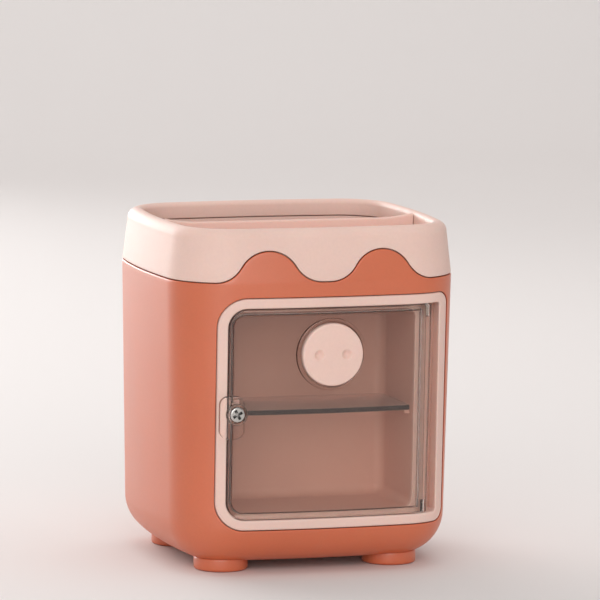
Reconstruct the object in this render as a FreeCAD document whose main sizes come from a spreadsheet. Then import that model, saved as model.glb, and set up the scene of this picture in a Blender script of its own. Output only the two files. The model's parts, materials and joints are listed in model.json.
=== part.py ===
"""Desk organizer: a rounded square tub with a pen well, a front tray and a cabinet with a clear hinged door.

Millimetres. The origin is on the desk under the middle of the box, +Z is up and the door faces -Y.
"""
import FreeCAD, Part
import math
import os

import Sketcher
from FreeCAD import Placement, Rotation, Vector

DOCUMENT = FreeCAD.newDocument("DeskOrganizer")
SHEET = DOCUMENT.addObject("Spreadsheet::Sheet", "Sizes")

# Driving dimensions: alias, value, what it is
SIZES = [
    ("body_width", 120.0, "side to side at the parting line"),
    ("body_depth", 111.0, "front to back at the parting line"),
    ("corner_radius", 25.0, "corner arcs of the plan"),
    ("front_bow", 360.0, "radius of the front and back arcs"),
    ("side_bow", 300.0, "radius of the side arcs"),
    ("overall_height", 136.5, "desk to the top of the lip"),
    ("collar_height", 20.8, "flat part of the parting line to the top of the lip"),
    ("body_draft", 2.2, "how far the wall leans in from the parting line down to the base"),
    ("collar_lean", 2.0, "how far the collar leans in from the parting line up to the lip"),
    ("shell_wall", 2.2, "wall and floor of the body shell"),
    ("base_round", 17.0, "rounding between wall and floor"),
    ("foot_height", 4.0, "desk to the underside"),
    ("foot_radius", 10.7, "each moulded foot"),
    ("foot_across_share", 0.58, "foot centre from the middle as a share of half the width"),
    ("foot_along_share", 0.5477, "foot centre from the middle as a share of half the depth"),
    ("foot_round", 1.2, "rounding under a foot"),
    ("crest_offset_share", 0.3867, "crest of each wave from the middle as a share of half the width"),
    ("crest_height_share", 0.5865, "crest of each wave above the parting line as a share of the collar"),
    ("wave_reach_share", 0.3583, "crest to where a wave runs out as a share of half the width"),
    ("parting_gap", 0.35, "open line between body and collar"),
    ("collar_wall", 2.0, "outer wall of the collar"),
    ("lip_outer_round", 4.2, "outer rounding of the lip"),
    ("lip_inner_round", 2.0, "inner rounding of the lip"),
    ("lip_drop", 6.5, "how far the inner edge of the lip hangs down"),
    ("skirt_wall", 1.7, "skirt of the collar behind the body wall"),
    ("skirt_drop", 3.3, "skirt below the parting line"),
    ("fit_gap", 0.3, "gap between moulded parts that slide together"),
    ("insert_wall", 1.6, "walls and floors of the pen insert"),
    ("well_floor_height", 17.0, "desk to the underside of the pen well"),
    ("well_round", 9.0, "rounding at the foot of the pen well"),
    ("tray_floor_drop", 5.1, "underside of the front tray below the parting line"),
    ("divider_place_share", 0.083, "divider in front of the middle as a share of half the depth"),
    ("divider_wall", 1.8, "thickness of the divider"),
    ("divider_drop", 1.9, "top of the divider in the middle below the top of the lip"),
    ("divider_end_rise", 1.6, "how far the divider climbs at its ends"),
    ("divider_end_run", 14.0, "length of the climb"),
    ("climb_share", 0.25, "share of the rise reached halfway along the climb"),
    ("bezel_left_share", 0.7183, "outer left edge from the middle as a share of half the width"),
    ("bezel_right_share", 0.8833, "outer right edge from the middle as a share of half the width"),
    ("bezel_bottom", 18.3, "desk to the outer bottom edge"),
    ("bezel_drop", 6.0, "outer top edge below the parting line"),
    ("bezel_left_round", 11.5, "outer corners at the latch side"),
    ("bezel_right_round", 5.0, "outer corners at the hinge side"),
    ("stripe_left", 4.0, "face of the bezel at the latch side"),
    ("stripe_right", 4.5, "face of the bezel at the hinge side"),
    ("stripe_level", 3.9, "face of the bezel at top and bottom"),
    ("bezel_depth", 7.3, "front to back of the bezel"),
    ("bezel_back_wall", 1.8, "back wall of the bezel, the door's stop"),
    ("flange_reach", 2.5, "flange behind the body wall, past the window"),
    ("flange_wall", 1.8, "thickness of that flange"),
    ("window_gap", 0.3, "open line between body and bezel"),
    ("edge_round", 0.3, "soft edges of window and collar along the outer surface"),
    ("cabinet_left_inset", 4.5, "inside left wall from the outer edge of the bezel"),
    ("cabinet_right_inset", 14.2, "inside right wall from the outer edge of the bezel"),
    ("cabinet_level_inset", 5.7, "inside floor and ceiling from the outer edges of the bezel"),
    ("cabinet_wall", 1.8, "walls of the cabinet box"),
    ("cabinet_back_share", 0.144, "inside back wall in front of the middle as a share of half the depth"),
    ("cabinet_round", 4.0, "inside corners at the back"),
    ("door_gap", 0.4, "gap round the door"),
    ("door_wall", 2.0, "panel of the door"),
    ("door_set_back", 0.3, "panel behind the face of the bezel"),
    ("return_depth", 2.6, "rim on the inside of the door"),
    ("return_wall", 1.5, "thickness of that rim"),
    ("barrel_radius", 2.2, "hinge barrel on the door"),
    ("hinge_inset", 10.8, "hinge axis from the outer right edge of the bezel at the bottom of the door"),
    ("hinge_depth", 2.6, "hinge axis behind the face"),
    ("pin_diameter", 2.0, "hinge pins"),
    ("pin_length", 7.6, "each hinge pin"),
    ("pin_seat", 2.5, "length of a pin held in the bezel"),
    ("pin_gap", 0.05, "radial running gap of a pin in the door"),
    ("tab_inset", 0.7, "outer end of the latch tab from the outer edge of the bezel"),
    ("tab_width", 9.8, "width of the tab"),
    ("tab_below", 9.9, "tab below the latch screw"),
    ("tab_above", 7.1, "tab above the latch screw"),
    ("tab_wall", 1.9, "thickness of the tab"),
    ("tab_round", 3.5, "corners of the tab"),
    ("tab_gap", 0.25, "tab in front of the bezel"),
    ("boss_radius", 4.2, "clear boss round the screw"),
    ("latch_inset", 7.1, "latch screw from the outer left edge of the bezel"),
    ("latch_height_share", 0.508, "latch screw above the lower edge of the bezel as a share of its height"),
    ("screw_head_radius", 3.05, "head of the latch screw"),
    ("screw_head_height", 1.8, "head of the latch screw"),
    ("screw_radius", 1.5, "thread of the latch screw"),
    ("screw_length", 7.0, "thread of the latch screw"),
    ("screw_bite", 0.6, "head let into the boss"),
    ("dome_share", 0.6, "rounding of the head as a share of its height"),
    ("cross_reach", 1.7, "arms of the cross recess"),
    ("cross_width", 0.8, "arms of the cross recess"),
    ("cross_depth", 1.0, "depth of the cross recess"),
    ("magnet_radius", 3.0, "latch magnet"),
    ("magnet_length", 3.0, "latch magnet"),
    ("magnet_gap", 0.5, "magnet behind the screw point"),
    ("holder_reach", 6.6, "magnet holder into the opening"),
    ("holder_half_height", 4.8, "magnet holder, half its height"),
    ("holder_wall", 1.4, "magnet holder behind the magnet"),
    ("button_radius", 12.3, "round button on the door"),
    ("button_height", 4.4, "thickness of the button"),
    ("button_round", 1.0, "edge of the button"),
    ("button_across_share", 0.035, "button right of the middle as a share of half the width"),
    ("button_drop", 22.3, "centre of the button below the upper edge of the bezel"),
    ("dimple_offset", 5.6, "each dimple from the centre"),
    ("dimple_radius", 3.4, "ball that presses a dimple"),
    ("dimple_depth", 0.9, "depth of a dimple"),
    ("peg_radius", 2.5, "peg on the back of the button"),
    ("ring_radius", 14.2, "clear ring round the button"),
    ("ring_height", 1.4, "ring in front of the panel"),
    ("ring_floor", 1.4, "panel left under the button"),
    ("ring_gap", 0.35, "gap between ring and button"),
    ("shelf_height_share", 0.481, "underside of the shelf above the cabinet floor as a share of its height"),
    ("shelf_wall", 2.0, "thickness of the shelf"),
    ("shelf_set_back", 10.0, "front edge of the shelf behind the face"),
    ("shelf_gap", 0.2, "shelf to the cabinet walls"),
    ("ledge_width", 2.2, "ledges under the shelf"),
    ("ledge_wall", 1.6, "thickness of a ledge"),
    ("ledge_front", 14.0, "front end of a ledge behind the face"),
    ("post_radius", 3.6, "screw posts under cabinet and insert"),
    ("cup_radius", 5.0, "screw cups in the floor"),
    ("cup_height", 4.6, "top of a screw cup above the underside"),
    ("cup_recess", 2.6, "depth of the recess for a screw head"),
    ("fixing_head_radius", 2.9, "heads of the assembly screws"),
    ("fixing_head_height", 2.0, "heads of the assembly screws"),
    ("fixing_radius", 1.5, "threads of the assembly screws"),
    ("fixing_length", 8.0, "threads of the assembly screws"),
    ("fixing_gap", 0.2, "clearance round an assembly screw"),
    ("post_across_share", 0.283, "screw posts from the middle as a share of half the width"),
    ("front_post_share", 0.56, "front cabinet posts in front of the middle as a share of half the depth"),
    ("rear_post_share", 0.235, "rear cabinet posts in front of the middle as a share of half the depth"),
    ("insert_post_share", 0.432, "insert posts behind the middle as a share of half the depth"),
    ("overrun", 5.0, "how far a cutting tool passes a face"),
]


def fill_sheet():
    """Write each driving dimension into a row of the sheet and give its cell an alias."""
    for row, (alias, value, meaning) in enumerate(SIZES, start=1):
        SHEET.set("A%d" % row, alias)
        SHEET.set("B%d" % row, str(value))
        SHEET.set("C%d" % row, meaning)
        SHEET.setAlias("B%d" % row, alias)
    DOCUMENT.recompute()


def size(alias):
    """Value of one cell of the sheet."""
    return float(SHEET.get(alias))


fill_sheet()

HALF_WIDTH = size("body_width") / 2
HALF_DEPTH = size("body_depth") / 2
SHELL_WALL = size("shell_wall")
FIT_GAP = size("fit_gap")
OVERRUN = size("overrun")
FOOT_HEIGHT = size("foot_height")
OVERALL_HEIGHT = size("overall_height")
PARTING = OVERALL_HEIGHT - size("collar_height")
CREST_OFFSET = HALF_WIDTH * size("crest_offset_share")
CREST_RISE = size("collar_height") * size("crest_height_share")
WAVE_REACH = HALF_WIDTH * size("wave_reach_share")
TRAY_FLOOR = PARTING - size("tray_floor_drop")
DIVIDER_PLACE = -HALF_DEPTH * size("divider_place_share")
BEZEL_LEFT = -HALF_WIDTH * size("bezel_left_share")
BEZEL_RIGHT = HALF_WIDTH * size("bezel_right_share")
BEZEL_BOTTOM = size("bezel_bottom")
BEZEL_TOP = PARTING - size("bezel_drop")
CABINET_LEFT = BEZEL_LEFT + size("cabinet_left_inset")
CABINET_RIGHT = BEZEL_RIGHT - size("cabinet_right_inset")
CABINET_BOTTOM = BEZEL_BOTTOM + size("cabinet_level_inset")
CABINET_TOP = BEZEL_TOP - size("cabinet_level_inset")
CABINET_BACK = -HALF_DEPTH * size("cabinet_back_share")
HINGE_ACROSS = BEZEL_RIGHT - size("hinge_inset")
LATCH_ACROSS = BEZEL_LEFT + size("latch_inset")
LATCH_HEIGHT = BEZEL_BOTTOM + (BEZEL_TOP - BEZEL_BOTTOM) * size("latch_height_share")
BUTTON_ACROSS = HALF_WIDTH * size("button_across_share")
BUTTON_PLACE = BEZEL_TOP - size("button_drop")
SHELF_HEIGHT = CABINET_BOTTOM + (CABINET_TOP - CABINET_BOTTOM) * size("shelf_height_share")
ROOT_HALF = math.sqrt(0.5)
FULL_TURN = 360.0
TURN_MARGIN = 0.5
SHARP_TURN = 20.0
EDGE_SHARES = (0.0, 0.25, 0.5, 0.75, 1.0)
NEAR_SHARE = 0.1
UP = Vector(0, 0, 1)
BACKWARD = Vector(0, 1, 0)

# Plan of the body: eight tangent arcs


def corner_centre():
    """Centre of the front right corner arc, which touches the front arc and the side arc from inside."""
    front = Vector(0, size("front_bow") - HALF_DEPTH, 0)
    side = Vector(HALF_WIDTH - size("side_bow"), 0, 0)
    reach_front = size("front_bow") - size("corner_radius")
    reach_side = size("side_bow") - size("corner_radius")
    span = front.distanceToPoint(side)
    along = (reach_front ** 2 - reach_side ** 2 + span ** 2) / (2 * span)
    across = math.sqrt(reach_front ** 2 - along ** 2)
    axis = (side - front).normalize()
    return front + axis * along + Vector(-axis.y, axis.x, 0) * across


CORNER = corner_centre()
FRONT_TURN = math.degrees(math.atan2(CORNER.x, size("front_bow") - HALF_DEPTH - CORNER.y))
SIDE_TURN = math.degrees(math.atan2(-CORNER.y, CORNER.x + size("side_bow") - HALF_WIDTH))


def plan_arcs():
    """The arcs of the plan, counterclockwise from the front: centre, radius, first and last angle."""
    front_centre = size("front_bow") - HALF_DEPTH
    side_centre = size("side_bow") - HALF_WIDTH
    arcs = []
    for quarter in range(4):
        start = -90 + 90 * quarter
        flat_turn, next_turn = (FRONT_TURN, SIDE_TURN) if quarter % 2 == 0 else (SIDE_TURN, FRONT_TURN)
        bow = size("front_bow") if quarter % 2 == 0 else size("side_bow")
        offset = front_centre if quarter % 2 == 0 else side_centre
        outward = Vector(math.cos(math.radians(start)), math.sin(math.radians(start)), 0)
        arcs.append((outward * -offset, bow, start - flat_turn, start + flat_turn))
        corner = Vector(abs(CORNER.x) * (1, 1, -1, -1)[quarter], abs(CORNER.y) * (-1, 1, 1, -1)[quarter], 0)
        arcs.append((corner, size("corner_radius"), start + flat_turn, start + 90 - next_turn))
    return arcs


ARCS = plan_arcs()
FRONT_ARCS = [ARCS[7], ARCS[0], ARCS[1]]


def point_on(centre, radius, angle, height=0.0):
    """Point of a circle in plan, lifted to a height."""
    turn = math.radians(angle)
    return Vector(centre.x + radius * math.cos(turn), centre.y + radius * math.sin(turn), height)


def plan_block(inset, bottom, top):
    """Upright solid of the plan, drawn in by an inset."""
    edges = []
    for centre, radius, first, last in ARCS:
        inner = radius - inset
        angles = (first, (first + last) / 2, last)
        edges.append(Part.Arc(*[point_on(centre, inner, angle, bottom) for angle in angles]).toShape())
    return Part.Face(Part.Wire(edges)).extrude(UP * (top - bottom))


def section(points):
    """Face from points (inset, height); a pair of points is an arc through the first to the second."""
    edges = []
    place = Vector(-points[0][0], 0, points[0][1])
    start = place
    for item in points[1:]:
        if isinstance(item[0], tuple):
            middle = Vector(-item[0][0], 0, item[0][1])
            end = Vector(-item[1][0], 0, item[1][1])
            edges.append(Part.Arc(place, middle, end).toShape())
        else:
            end = Vector(-item[0], 0, item[1])
            edges.append(Part.LineSegment(place, end).toShape())
        place = end
    edges.append(Part.LineSegment(place, start).toShape())
    return Part.Face(Part.Wire(edges))


def around(face, arcs=None):
    """Carry a section round the plan: each arc turns it about its own centre."""
    pieces = []
    for centre, radius, first, last in arcs or ARCS:
        part = face.copy()
        part.rotate(Vector(0, 0, 0), UP, first)
        part.translate(point_on(centre, radius, first))
        pieces.append(part.revolve(centre, UP, last - first))
    return pieces[0].multiFuse(pieces[1:]).removeSplitter()


def skin(height):
    """Inset of the outer surface at a height: draft below the parting line, lean above it."""
    if height <= PARTING:
        return size("body_draft") * (PARTING - height) / (PARTING - FOOT_HEIGHT)
    return size("collar_lean") * (height - PARTING) / (OVERALL_HEIGHT - size("lip_outer_round") - PARTING)


def band(bottom, top, near, far):
    """Section between two depths behind the outer surface."""
    return section([
        (skin(bottom) + near, bottom),
        (skin(top) + near, top),
        (skin(top) + far, top),
        (skin(bottom) + far, bottom),
    ])


def skin_depth(point):
    """How far a point lies behind the outer surface, on the arc of the plan that it is nearest to."""
    depths = []
    for centre, radius, first, last in ARCS:
        turn = math.degrees(math.atan2(point.y - centre.y, point.x - centre.x))
        if (turn - first + TURN_MARGIN) % FULL_TURN <= last - first + 2 * TURN_MARGIN:
            depths.append(radius - math.hypot(point.x - centre.x, point.y - centre.y) - skin(point.z))
    return min(depths, key=abs)


def outer_edges(shape, low, high):
    """Sharp edges of a shape that lie on the outer surface between two heights."""
    found = []
    for edge in shape.Edges:
        span = edge.LastParameter - edge.FirstParameter
        points = [edge.valueAt(edge.FirstParameter + span * share) for share in EDGE_SHARES]
        if edge.BoundBox.ZMin < low or edge.BoundBox.ZMax > high:
            continue
        if max(abs(skin_depth(point)) for point in points) > size("edge_round") * NEAR_SHARE:
            continue
        normals = []
        for face in shape.ancestorsOfType(edge, Part.Face):
            normals.append(face.normalAt(*face.Surface.parameter(points[len(points) // 2])))
        if len(normals) == 2 and math.degrees(normals[0].getAngle(normals[1])) > SHARP_TURN:
            found.append(edge)
    return found


def soften_outline(shape, low, high):
    """Shape with its sharp edges along the outer surface between two heights made round."""
    return shape.makeFillet(size("edge_round"), outer_edges(shape, low, high))


def front_face(across, depth, height):
    """Point behind the front surface, at a distance from the middle and a depth below the skin."""
    inset = skin(height) + depth
    corner_reach = size("corner_radius") - inset
    if abs(across) > CORNER.x + corner_reach * math.sin(math.radians(FRONT_TURN)):
        drop = math.sqrt(corner_reach ** 2 - (abs(across) - CORNER.x) ** 2)
        return Vector(across, CORNER.y - drop, height)
    reach = size("front_bow") - inset
    return Vector(across, size("front_bow") - HALF_DEPTH - math.sqrt(reach ** 2 - across ** 2), height)


def rounded_window(left, right, bottom, top, left_round, right_round):
    """Prism through the front wall with rounded corners, from past the face to the middle."""
    depth = -HALF_DEPTH - OVERRUN

    def spot(across, height):
        return Vector(across, depth, height)

    def corner(across, height, radius, side, level):
        centre_x = across - side * radius
        centre_z = height - level * radius
        middle = spot(centre_x + side * radius * ROOT_HALF, centre_z + level * radius * ROOT_HALF)
        return spot(centre_x, height), middle, spot(across, centre_z)

    low_left = corner(left, bottom, left_round, -1, -1)
    low_right = corner(right, bottom, right_round, 1, -1)
    high_right = corner(right, top, right_round, 1, 1)
    high_left = corner(left, top, left_round, -1, 1)
    edges = [
        Part.LineSegment(low_left[0], low_right[0]).toShape(),
        Part.Arc(*low_right).toShape(),
        Part.LineSegment(low_right[2], high_right[2]).toShape(),
        Part.Arc(*reversed(high_right)).toShape(),
        Part.LineSegment(high_right[0], high_left[0]).toShape(),
        Part.Arc(*high_left).toShape(),
        Part.LineSegment(high_left[2], low_left[2]).toShape(),
        Part.Arc(*reversed(low_left)).toShape(),
    ]
    return Part.Face(Part.Wire(edges)).extrude(BACKWARD * -depth)


def bezel_window(grow, left_in=0.0, right_in=0.0, level_in=0.0):
    """Window along the outline of the bezel, grown or drawn in."""
    left_round = max(size("bezel_left_round") + grow - level_in, size("door_gap"))
    right_round = max(size("bezel_right_round") + grow - level_in, size("door_gap"))
    return rounded_window(
        BEZEL_LEFT - grow + left_in,
        BEZEL_RIGHT + grow - right_in,
        BEZEL_BOTTOM - grow + level_in,
        BEZEL_TOP + grow - level_in,
        left_round,
        right_round,
    )


def bezel_opening(shrink):
    """Window along the inner edge of the bezel, drawn in further by a gap."""
    return bezel_window(
        0.0,
        size("stripe_left") + shrink,
        size("stripe_right") + shrink,
        size("stripe_level") + shrink,
    )


def wave_block(lift):
    """Prism over the front half whose lower side is the wavy parting line, lifted by a gap."""
    reach = WAVE_REACH
    rise = CREST_RISE
    radius = (reach ** 2 + rise ** 2) / (4 * rise)
    turn = 2 * math.atan2(rise, reach)
    low = PARTING + lift
    depth = -HALF_DEPTH - OVERRUN
    edges = []

    def spot(across, height):
        return Vector(across, depth, height)

    def flank(crest, side):
        """Two equal arcs from the flat line to the crest, listed from the foot upward."""
        foot = crest + side * reach
        foot_middle = spot(foot - side * radius * math.sin(turn / 2), low + radius * (1 - math.cos(turn / 2)))
        halfway = spot(crest + side * reach / 2, low + rise / 2)
        crest_side = crest + side * radius * math.sin(turn / 2)
        crest_middle = spot(crest_side, low + rise - radius * (1 - math.cos(turn / 2)))
        return [
            (spot(foot, low), foot_middle, halfway),
            (halfway, crest_middle, spot(crest, low + rise)),
        ]

    for crest in (-CREST_OFFSET, CREST_OFFSET):
        rising = flank(crest, -1)
        falling = flank(crest, 1)
        for arc in rising:
            edges.append(Part.Arc(*arc).toShape())
        for first, middle, last in reversed(falling):
            edges.append(Part.Arc(last, middle, first).toShape())
    inner_foot = CREST_OFFSET - reach
    outer_foot = CREST_OFFSET + reach
    side = HALF_WIDTH + OVERRUN
    high = OVERALL_HEIGHT + OVERRUN
    edges.append(Part.LineSegment(spot(-inner_foot, low), spot(inner_foot, low)).toShape())
    path = [(outer_foot, low), (side, low), (side, high), (-side, high), (-side, low), (-outer_foot, low)]
    for start, end in zip(path, path[1:]):
        edges.append(Part.LineSegment(spot(*start), spot(*end)).toShape())
    ordered = Part.__sortEdges__(edges)
    return Part.Face(Part.Wire(ordered)).extrude(BACKWARD * -depth)


def box_between(low, high):
    """Box from its low corner to its high corner."""
    return Part.makeBox(high.x - low.x, high.y - low.y, high.z - low.z, low)


def add_shape(label, shape):
    """Sub-part whose shape is set by Part's own functions."""
    feature = DOCUMENT.addObject("Part::Feature", label)
    feature.Label = label
    feature.Shape = shape
    feature.Placement = Placement(PLAN_CENTRE, Rotation())
    return feature


def button_seat():
    """Depth coordinate of the floor that the button stands on."""
    face = front_face(BUTTON_ACROSS, size("door_set_back"), BUTTON_PLACE)
    return face.y + size("door_wall") - size("ring_floor")


PLAN_CENTRE = Vector(0, (size("button_height") - button_seat() - HALF_DEPTH) / 2, 0)


def post_places():
    """Centres of the screw posts: four under the cabinet, two under the pen insert."""
    across = HALF_WIDTH * size("post_across_share")
    cabinet = [
        Vector(side * across, -HALF_DEPTH * size(share), 0)
        for share in ("front_post_share", "rear_post_share")
        for side in (-1, 1)
    ]
    insert = [Vector(side * across, HALF_DEPTH * size("insert_post_share"), 0) for side in (-1, 1)]
    return cabinet, insert


CUP_TOP = FOOT_HEIGHT + size("cup_height")
POST_BASE = CUP_TOP + FIT_GAP
RECESS_TOP = FOOT_HEIGHT + size("cup_recess")

# Body shell


def base_profile(offset):
    """Wall and base rounding at an offset inside the skin: the top of the rounding and its centre."""
    slope = size("body_draft") / (PARTING - FOOT_HEIGHT)
    stretch = math.sqrt(1 + slope ** 2)
    round_radius = size("base_round")
    centre_height = FOOT_HEIGHT + round_radius
    start_height = centre_height - round_radius * slope / stretch
    centre_inset = skin(start_height) + round_radius / stretch
    radius = round_radius - offset
    start = (centre_inset - radius / stretch, centre_height - radius * slope / stretch)
    tilt = math.atan(slope)
    half = tilt + (math.pi / 2 - tilt) / 2
    middle = (centre_inset - radius * math.cos(half), centre_height - radius * math.sin(half))
    end = (centre_inset, centre_height - radius)
    return start, middle, end


def body_shell():
    """Tub with a drafted wall, rounded base, moulded feet, wavy front edge, window and screw cups."""
    outer_start, outer_middle, outer_end = base_profile(0.0)
    inner_start, inner_middle, inner_end = base_profile(SHELL_WALL)
    wall = around(section([
        outer_end,
        (outer_middle, outer_start),
        (skin(PARTING), PARTING),
        (skin(PARTING) + SHELL_WALL, PARTING),
        inner_start,
        (inner_middle, inner_end),
    ]))
    floor = plan_block(outer_end[0] - FIT_GAP, FOOT_HEIGHT, FOOT_HEIGHT + SHELL_WALL)
    crest = PARTING + CREST_RISE
    wave = around(band(PARTING, crest, 0.0, SHELL_WALL), FRONT_ARCS).cut(wave_block(0.0))
    shell = wall.multiFuse([floor, wave])
    for side in (-1, 1):
        for end in (-1, 1):
            foot = Part.makeCylinder(
                size("foot_radius"),
                FOOT_HEIGHT + SHELL_WALL / 2,
                Vector(
                    side * HALF_WIDTH * size("foot_across_share"),
                    end * HALF_DEPTH * size("foot_along_share"),
                    0,
                ),
            )
            rim = [edge for edge in foot.Edges if edge.BoundBox.ZMax < FIT_GAP]
            shell = shell.fuse(foot.makeFillet(size("foot_round"), rim))
    cabinet_posts, insert_posts = post_places()
    for place in cabinet_posts + insert_posts:
        cup = Part.makeCylinder(size("cup_radius"), size("cup_height"), place + UP * FOOT_HEIGHT)
        shell = shell.fuse(cup)
    for place in cabinet_posts + insert_posts:
        head = size("fixing_head_radius") + size("fixing_gap")
        recess = Part.makeCylinder(head, size("cup_recess") + OVERRUN, place + UP * (FOOT_HEIGHT - OVERRUN))
        bore = size("fixing_radius") + size("fixing_gap")
        hole = Part.makeCylinder(bore, size("cup_height") + OVERRUN, place + UP * FOOT_HEIGHT)
        shell = shell.cut(recess.fuse(hole))
    shell = shell.cut(bezel_window(size("window_gap"))).removeSplitter()
    shell = soften_outline(shell, FOOT_HEIGHT, BEZEL_TOP + 2 * size("window_gap"))
    return add_shape("body_shell", shell)


# Collar

LIP_START = OVERALL_HEIGHT - size("lip_outer_round")
CREST_INSET = skin(LIP_START) + size("lip_outer_round")
LIP_INSET = CREST_INSET + size("lip_inner_round")
LIP_FOOT = OVERALL_HEIGHT - size("lip_drop")


def lip_points(wall):
    """Middle of the lip's outer rounding and its crest, drawn in by a wall."""
    outer = size("lip_outer_round") - wall
    outer_middle = (CREST_INSET - outer * ROOT_HALF, LIP_START + outer * ROOT_HALF)
    return outer_middle, (CREST_INSET, LIP_START + outer)


def top_collar():
    """Ring with a wavy lower edge, a rolled lip and a skirt that stands behind the body wall."""
    wall = size("collar_wall")
    base = PARTING + size("parting_gap")
    inner_round = size("lip_inner_round")
    outer_middle, crest = lip_points(0.0)
    under_middle, under_crest = lip_points(wall)
    inner_middle = (
        CREST_INSET + inner_round * ROOT_HALF,
        OVERALL_HEIGHT - inner_round + inner_round * ROOT_HALF,
    )
    hook = LIP_INSET - size("insert_wall")
    drape = around(section([
        (skin(base), base),
        (skin(LIP_START), LIP_START),
        (outer_middle, crest),
        (inner_middle, (LIP_INSET, OVERALL_HEIGHT - inner_round)),
        (LIP_INSET, LIP_FOOT),
        (hook, LIP_FOOT),
        (hook, under_crest[1]),
        under_crest,
        (under_middle, (skin(LIP_START) + wall, LIP_START)),
        (skin(base) + wall, base),
    ]))
    wave_low = PARTING - OVERRUN
    front_half = box_between(
        Vector(-HALF_WIDTH, -HALF_DEPTH - OVERRUN, wave_low),
        Vector(HALF_WIDTH, 0, PARTING + CREST_RISE + OVERRUN / 2),
    )
    drape = drape.cut(front_half.cut(wave_block(size("parting_gap"))))
    near = SHELL_WALL + FIT_GAP
    far = near + size("skirt_wall")
    skirt_base = PARTING - size("skirt_drop")
    shoulder = PARTING + CREST_RISE + size("parting_gap")
    skirt_top = shoulder + size("collar_wall")
    skirt = around(section([
        (skin(PARTING) + near, skirt_base),
        (skin(PARTING) + near, PARTING),
        (skin(shoulder) + near, shoulder),
        (skin(shoulder) + wall / 2, shoulder),
        (skin(skirt_top) + wall / 2, skirt_top),
        (skin(skirt_top) + far, skirt_top),
        (skin(PARTING) + far, PARTING),
        (skin(PARTING) + far, skirt_base),
    ]))
    collar = soften_outline(drape.fuse(skirt).removeSplitter(), PARTING, LIP_START - FIT_GAP)
    return add_shape("top_collar", collar)


# Pen insert


def insert_volume(offset, floor_height):
    """Drafted volume of the insert with a rounded foot, drawn in by an offset."""
    top = LIP_FOOT - FIT_GAP
    inset = LIP_INSET - size("insert_wall") + offset
    radius = size("well_round") - offset
    low = floor_height
    side = inset + skin(low + radius)
    wall = around(section([
        (side + radius, low),
        ((side + radius * (1 - ROOT_HALF), low + radius * (1 - ROOT_HALF)), (side, low + radius)),
        (inset, PARTING),
        (inset, top),
        (side + radius, top),
    ]))
    return wall.fuse(plan_block(side + radius - FIT_GAP, low, top)).removeSplitter()


def pen_insert():
    """Deep well behind, shallow tray in front over the cabinet, and a divider with climbing ends."""
    wall = size("insert_wall")
    divider_front = DIVIDER_PLACE - size("divider_wall") / 2
    divider_back = DIVIDER_PLACE + size("divider_wall") / 2
    top = OVERALL_HEIGHT + OVERRUN
    well_floor = size("well_floor_height")
    tray_floor = TRAY_FLOOR
    side = HALF_WIDTH + OVERRUN
    front = -HALF_DEPTH - OVERRUN
    outer = insert_volume(0.0, well_floor)
    outer = outer.cut(box_between(Vector(-side, front, 0), Vector(side, divider_front, tray_floor)))
    inner = insert_volume(wall, well_floor + wall)
    well = inner.cut(box_between(Vector(-side, front, 0), Vector(side, divider_back, top)))
    tray = inner.cut(box_between(Vector(-side, divider_front, 0), Vector(side, -front, top)))
    tray = tray.cut(box_between(Vector(-side, front, 0), Vector(side, 0, tray_floor + wall)))
    insert = outer.cut(well).cut(tray)
    insert = insert.fuse(divider_crown(divider_front, divider_back))
    _, insert_posts = post_places()
    for place in insert_posts:
        length = well_floor + wall / 2 - POST_BASE
        post = Part.makeCylinder(size("post_radius"), length, place + UP * POST_BASE)
        bore = Part.makeCylinder(size("fixing_radius"), size("fixing_length"), place + UP * POST_BASE)
        insert = insert.fuse(post).cut(bore)
    return add_shape("pen_insert", insert.removeSplitter())


def divider_crown(front, back):
    """Upper edge of the divider: level in the middle, climbing to the lip at both ends."""
    half = front_side_reach(DIVIDER_PLACE) - LIP_INSET - FIT_GAP
    low = LIP_FOOT - size("divider_wall")
    level = OVERALL_HEIGHT - size("divider_drop")
    rise = size("divider_end_rise")
    run = size("divider_end_run")
    edges = []

    def spot(across, height):
        return Vector(across, front, height)

    def line(start, end):
        edges.append(Part.LineSegment(spot(*start), spot(*end)).toShape())

    def climb(side):
        start = spot(side * (half - run), level)
        middle = spot(side * (half - run / 2), level + rise * size("climb_share"))
        edges.append(Part.Arc(start, middle, spot(side * half, level + rise)).toShape())

    line((-half, low), (half, low))
    line((half, low), (half, level + rise))
    climb(1)
    line((half - run, level), (-half + run, level))
    climb(-1)
    line((-half, level + rise), (-half, low))
    return Part.Face(Part.Wire(Part.__sortEdges__(edges))).extrude(BACKWARD * (back - front))


def front_side_reach(along):
    """Half the width of the plan at a distance from the middle, front to back."""
    if abs(along) < abs(CORNER.y):
        return math.sqrt(size("side_bow") ** 2 - along ** 2) - size("side_bow") + HALF_WIDTH
    return CORNER.x + math.sqrt(size("corner_radius") ** 2 - (abs(along) + CORNER.y) ** 2)


# Hinge line: a straight line that keeps its depth behind the drafted face


def hinge_point(height):
    """Point of the hinge axis at a height."""
    foot_inset = skin(DOOR_BOTTOM) + size("hinge_depth")
    turn = math.asin((HINGE_ACROSS - CORNER.x) / (size("corner_radius") - foot_inset))
    reach = size("corner_radius") - skin(height) - size("hinge_depth")
    return Vector(CORNER.x + reach * math.sin(turn), CORNER.y - reach * math.cos(turn), height)


DOOR_BOTTOM = BEZEL_BOTTOM + size("stripe_level") + size("door_gap")
DOOR_TOP = BEZEL_TOP - size("stripe_level") - size("door_gap")
HINGE_FOOT = hinge_point(DOOR_BOTTOM)
HINGE_HEAD = hinge_point(DOOR_TOP)
HINGE_AXIS = (HINGE_HEAD - HINGE_FOOT).normalize()
HINGE_LENGTH = HINGE_FOOT.distanceToPoint(HINGE_HEAD)


def latch_face():
    """Point of the skin in front of the latch screw."""
    return front_face(LATCH_ACROSS, 0.0, LATCH_HEIGHT)


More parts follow.
